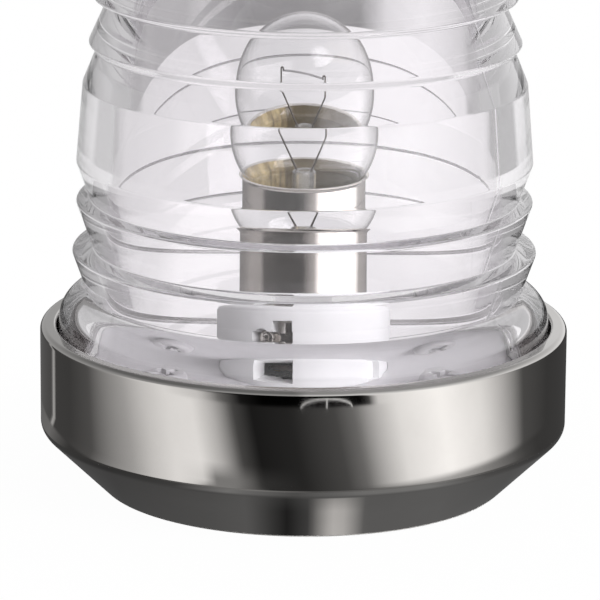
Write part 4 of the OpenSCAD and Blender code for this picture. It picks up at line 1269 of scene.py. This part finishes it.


# the floor: pale and matt with the object's shadow; through the clear pieces it glows with painted light and
# shade, a painted shadow close behind the object and lighter to the right
def makeFloor():
    s = studio
    half = s["floorSize"] / 2
    points = np.array([[-half, -half, 0], [half, -half, 0], [half, half, 0], [-half, half, 0]], float)
    floor = makePiece("studioFloor", (points, np.array([[0, 1, 2, 3]])))
    material = bpy.data.materials.new("paleFloor")
    tree, end = emptyTree(material)
    here = tree.nodes.new("ShaderNodeTexCoord").outputs["Object"]
    path = tree.nodes.new("ShaderNodeLightPath").outputs
    away = lengthOf(tree, here)
    x = split(tree, here)[0]
    shade = ranged(tree, away, s["near"], s["far"], 1.0 - s["floorShade"], 1.0, "SMOOTHSTEP")
    direct = maths(tree, "MULTIPLY", path["Is Camera Ray"], shade)
    share = maths(tree, "MAXIMUM", direct, path["Is Transmission Ray"])
    close = greyRamp(tree, x, -s["closeHalf"], s["closeHalf"], s["close"])
    around = mixed(tree, ranged(tree, away, *s["underEdge"]), rgba(grey(s["under"])), close)
    sideways = maths(tree, "DIVIDE", x, away)
    distant = greyRamp(tree, sideways, -1.0, 1.0, s["distant"])
    through = mixed(tree, ranged(tree, away, *s["apart"], way="SMOOTHSTEP"), around, distant)
    held = caughtLight(tree, path, sideways, through)
    shown = mixed(tree, path["Is Camera Ray"], held, s["white"])
    tint = ranged(tree, noise(tree, here, s["floorCloud"], Detail=3.0), 0.0, 1.0, *s["floorTint"])
    matt = addNode(tree, "ShaderNodeBsdfDiffuse", {"Color": tint})
    bright = addNode(tree, "ShaderNodeEmission", {"Color": shown, "Strength": 1.0})
    both = shadersMixed(tree, share, matt.outputs["BSDF"], bright.outputs["Emission"])
    tree.links.new(both, end.inputs["Surface"])
    floor.data.materials.append(material)


makeFloor()


# the surroundings: white to the camera; in reflections and through the lens they fall off to grey overhead
def makeWorld():
    world = bpy.data.worlds.new("studioWorld")
    bpy.context.scene.world = world
    tree, end = emptyTree(world, "ShaderNodeOutputWorld")
    way = tree.nodes.new("ShaderNodeTexCoord").outputs["Generated"]
    path = tree.nodes.new("ShaderNodeLightPath").outputs
    x, _, z = split(tree, way)
    clear = maths(tree, "ADD", path["Is Glossy Ray"], path["Is Transmission Ray"])
    seen = maths(tree, "ADD", clear, path["Is Camera Ray"])
    seen.node.use_clamp = True
    strength = ranged(tree, seen, 0.0, 1.0, studio["worldSoft"], 1.0)
    box = studio["softbox"]
    toBox = addNode(tree, "ShaderNodeVectorMath", {
        0: way, 1: Vector(box["way"]).normalized()}, operation="DOT_PRODUCT").outputs["Value"]
    edge = [math.cos(math.radians(turn)) for turn in (box["out"], box["in"])]
    patch = ranged(tree, toBox, *edge, 0.0, box["glow"], "SMOOTHSTEP")
    lit = mixed(tree, 1.0, greyRamp(tree, z, 0.0, 1.0, studio["overLens"]), patch, "ADD")
    lensSees = mixed(tree, 1.0, lit, greyRamp(tree, x, -1.0, 1.0, studio["sides"]), "MULTIPLY")
    overhead = greyRamp(tree, z, 0.0, 1.0, studio["overhead"])
    steelSees = mixed(tree, 1.0, overhead, greyRamp(tree, x, -1.0, 1.0, studio["rimSides"]), "MULTIPLY")
    inside = mixed(tree, path["Is Transmission Ray"], steelSees, lensSees)
    shown = mixed(tree, path["Is Camera Ray"], caughtLight(tree, path, x, inside), studio["white"])
    sky = addNode(tree, "ShaderNodeBackground", {"Color": shown, "Strength": strength})
    tree.links.new(sky.outputs["Background"], end.inputs["Surface"])


makeWorld()

lamps = {
    "keyLeft": {"place": (-0.55, -0.45, 0.75), "size": 0.5, "watts": 1.0},
    "fillRight": {"place": (0.6, -0.6, 0.45), "size": 0.5, "watts": 10.5},
    "overBack": {"place": (0.0, 0.55, 0.8), "size": 0.6, "watts": 1.4},
}


# soft square lamps aimed at the middle of the object; the steel shows the cards, not the lamps
def makeLamps():
    aim = Vector((0, 0, 0.03))
    for name, lamp in lamps.items():
        data = bpy.data.lights.new(name, "AREA")
        data.size = lamp["size"]
        data.energy = lamp["watts"]
        light = bpy.data.objects.new(name, data)
        light.location = lamp["place"]
        light.rotation_euler = (aim - Vector(lamp["place"])).to_track_quat("-Z", "Y").to_euler()
        light.visible_glossy = False
        light.visible_transmission = False
        light.visible_camera = False
        bpy.context.scene.collection.objects.link(light)


makeLamps()

camera = {
    "place": (-0.457, -534.6, 159.9), "pitch": 14.4, "roll": 0.42, "lens": 270.0, "sensor": 36.0,
    "clip": (0.01, 20.0),
}


# the camera: tilted down by its pitch, then turned by its roll
def makeCamera():
    data = bpy.data.cameras.new("photoCamera")
    data.lens = camera["lens"]
    data.sensor_width = camera["sensor"]
    data.clip_start, data.clip_end = camera["clip"]
    view = bpy.data.objects.new("photoCamera", data)
    turn = Matrix.Rotation(math.radians(90 - camera["pitch"]), 4, "X")
    turn = turn @ Matrix.Rotation(math.radians(camera["roll"]), 4, "Z")
    view.matrix_world = Matrix.Translation(Vector(camera["place"]) * mm) @ turn
    bpy.context.scene.collection.objects.link(view)
    bpy.context.scene.camera = view


makeCamera()
bounces = {"max": 48, "clear": 32, "glossy": 32}
scene = bpy.context.scene
scene.view_settings.view_transform = "Standard"
scene.cycles.max_bounces = bounces["max"]
scene.cycles.transmission_bounces = bounces["clear"]
scene.cycles.glossy_bounces = bounces["glossy"]
print("studio ready")
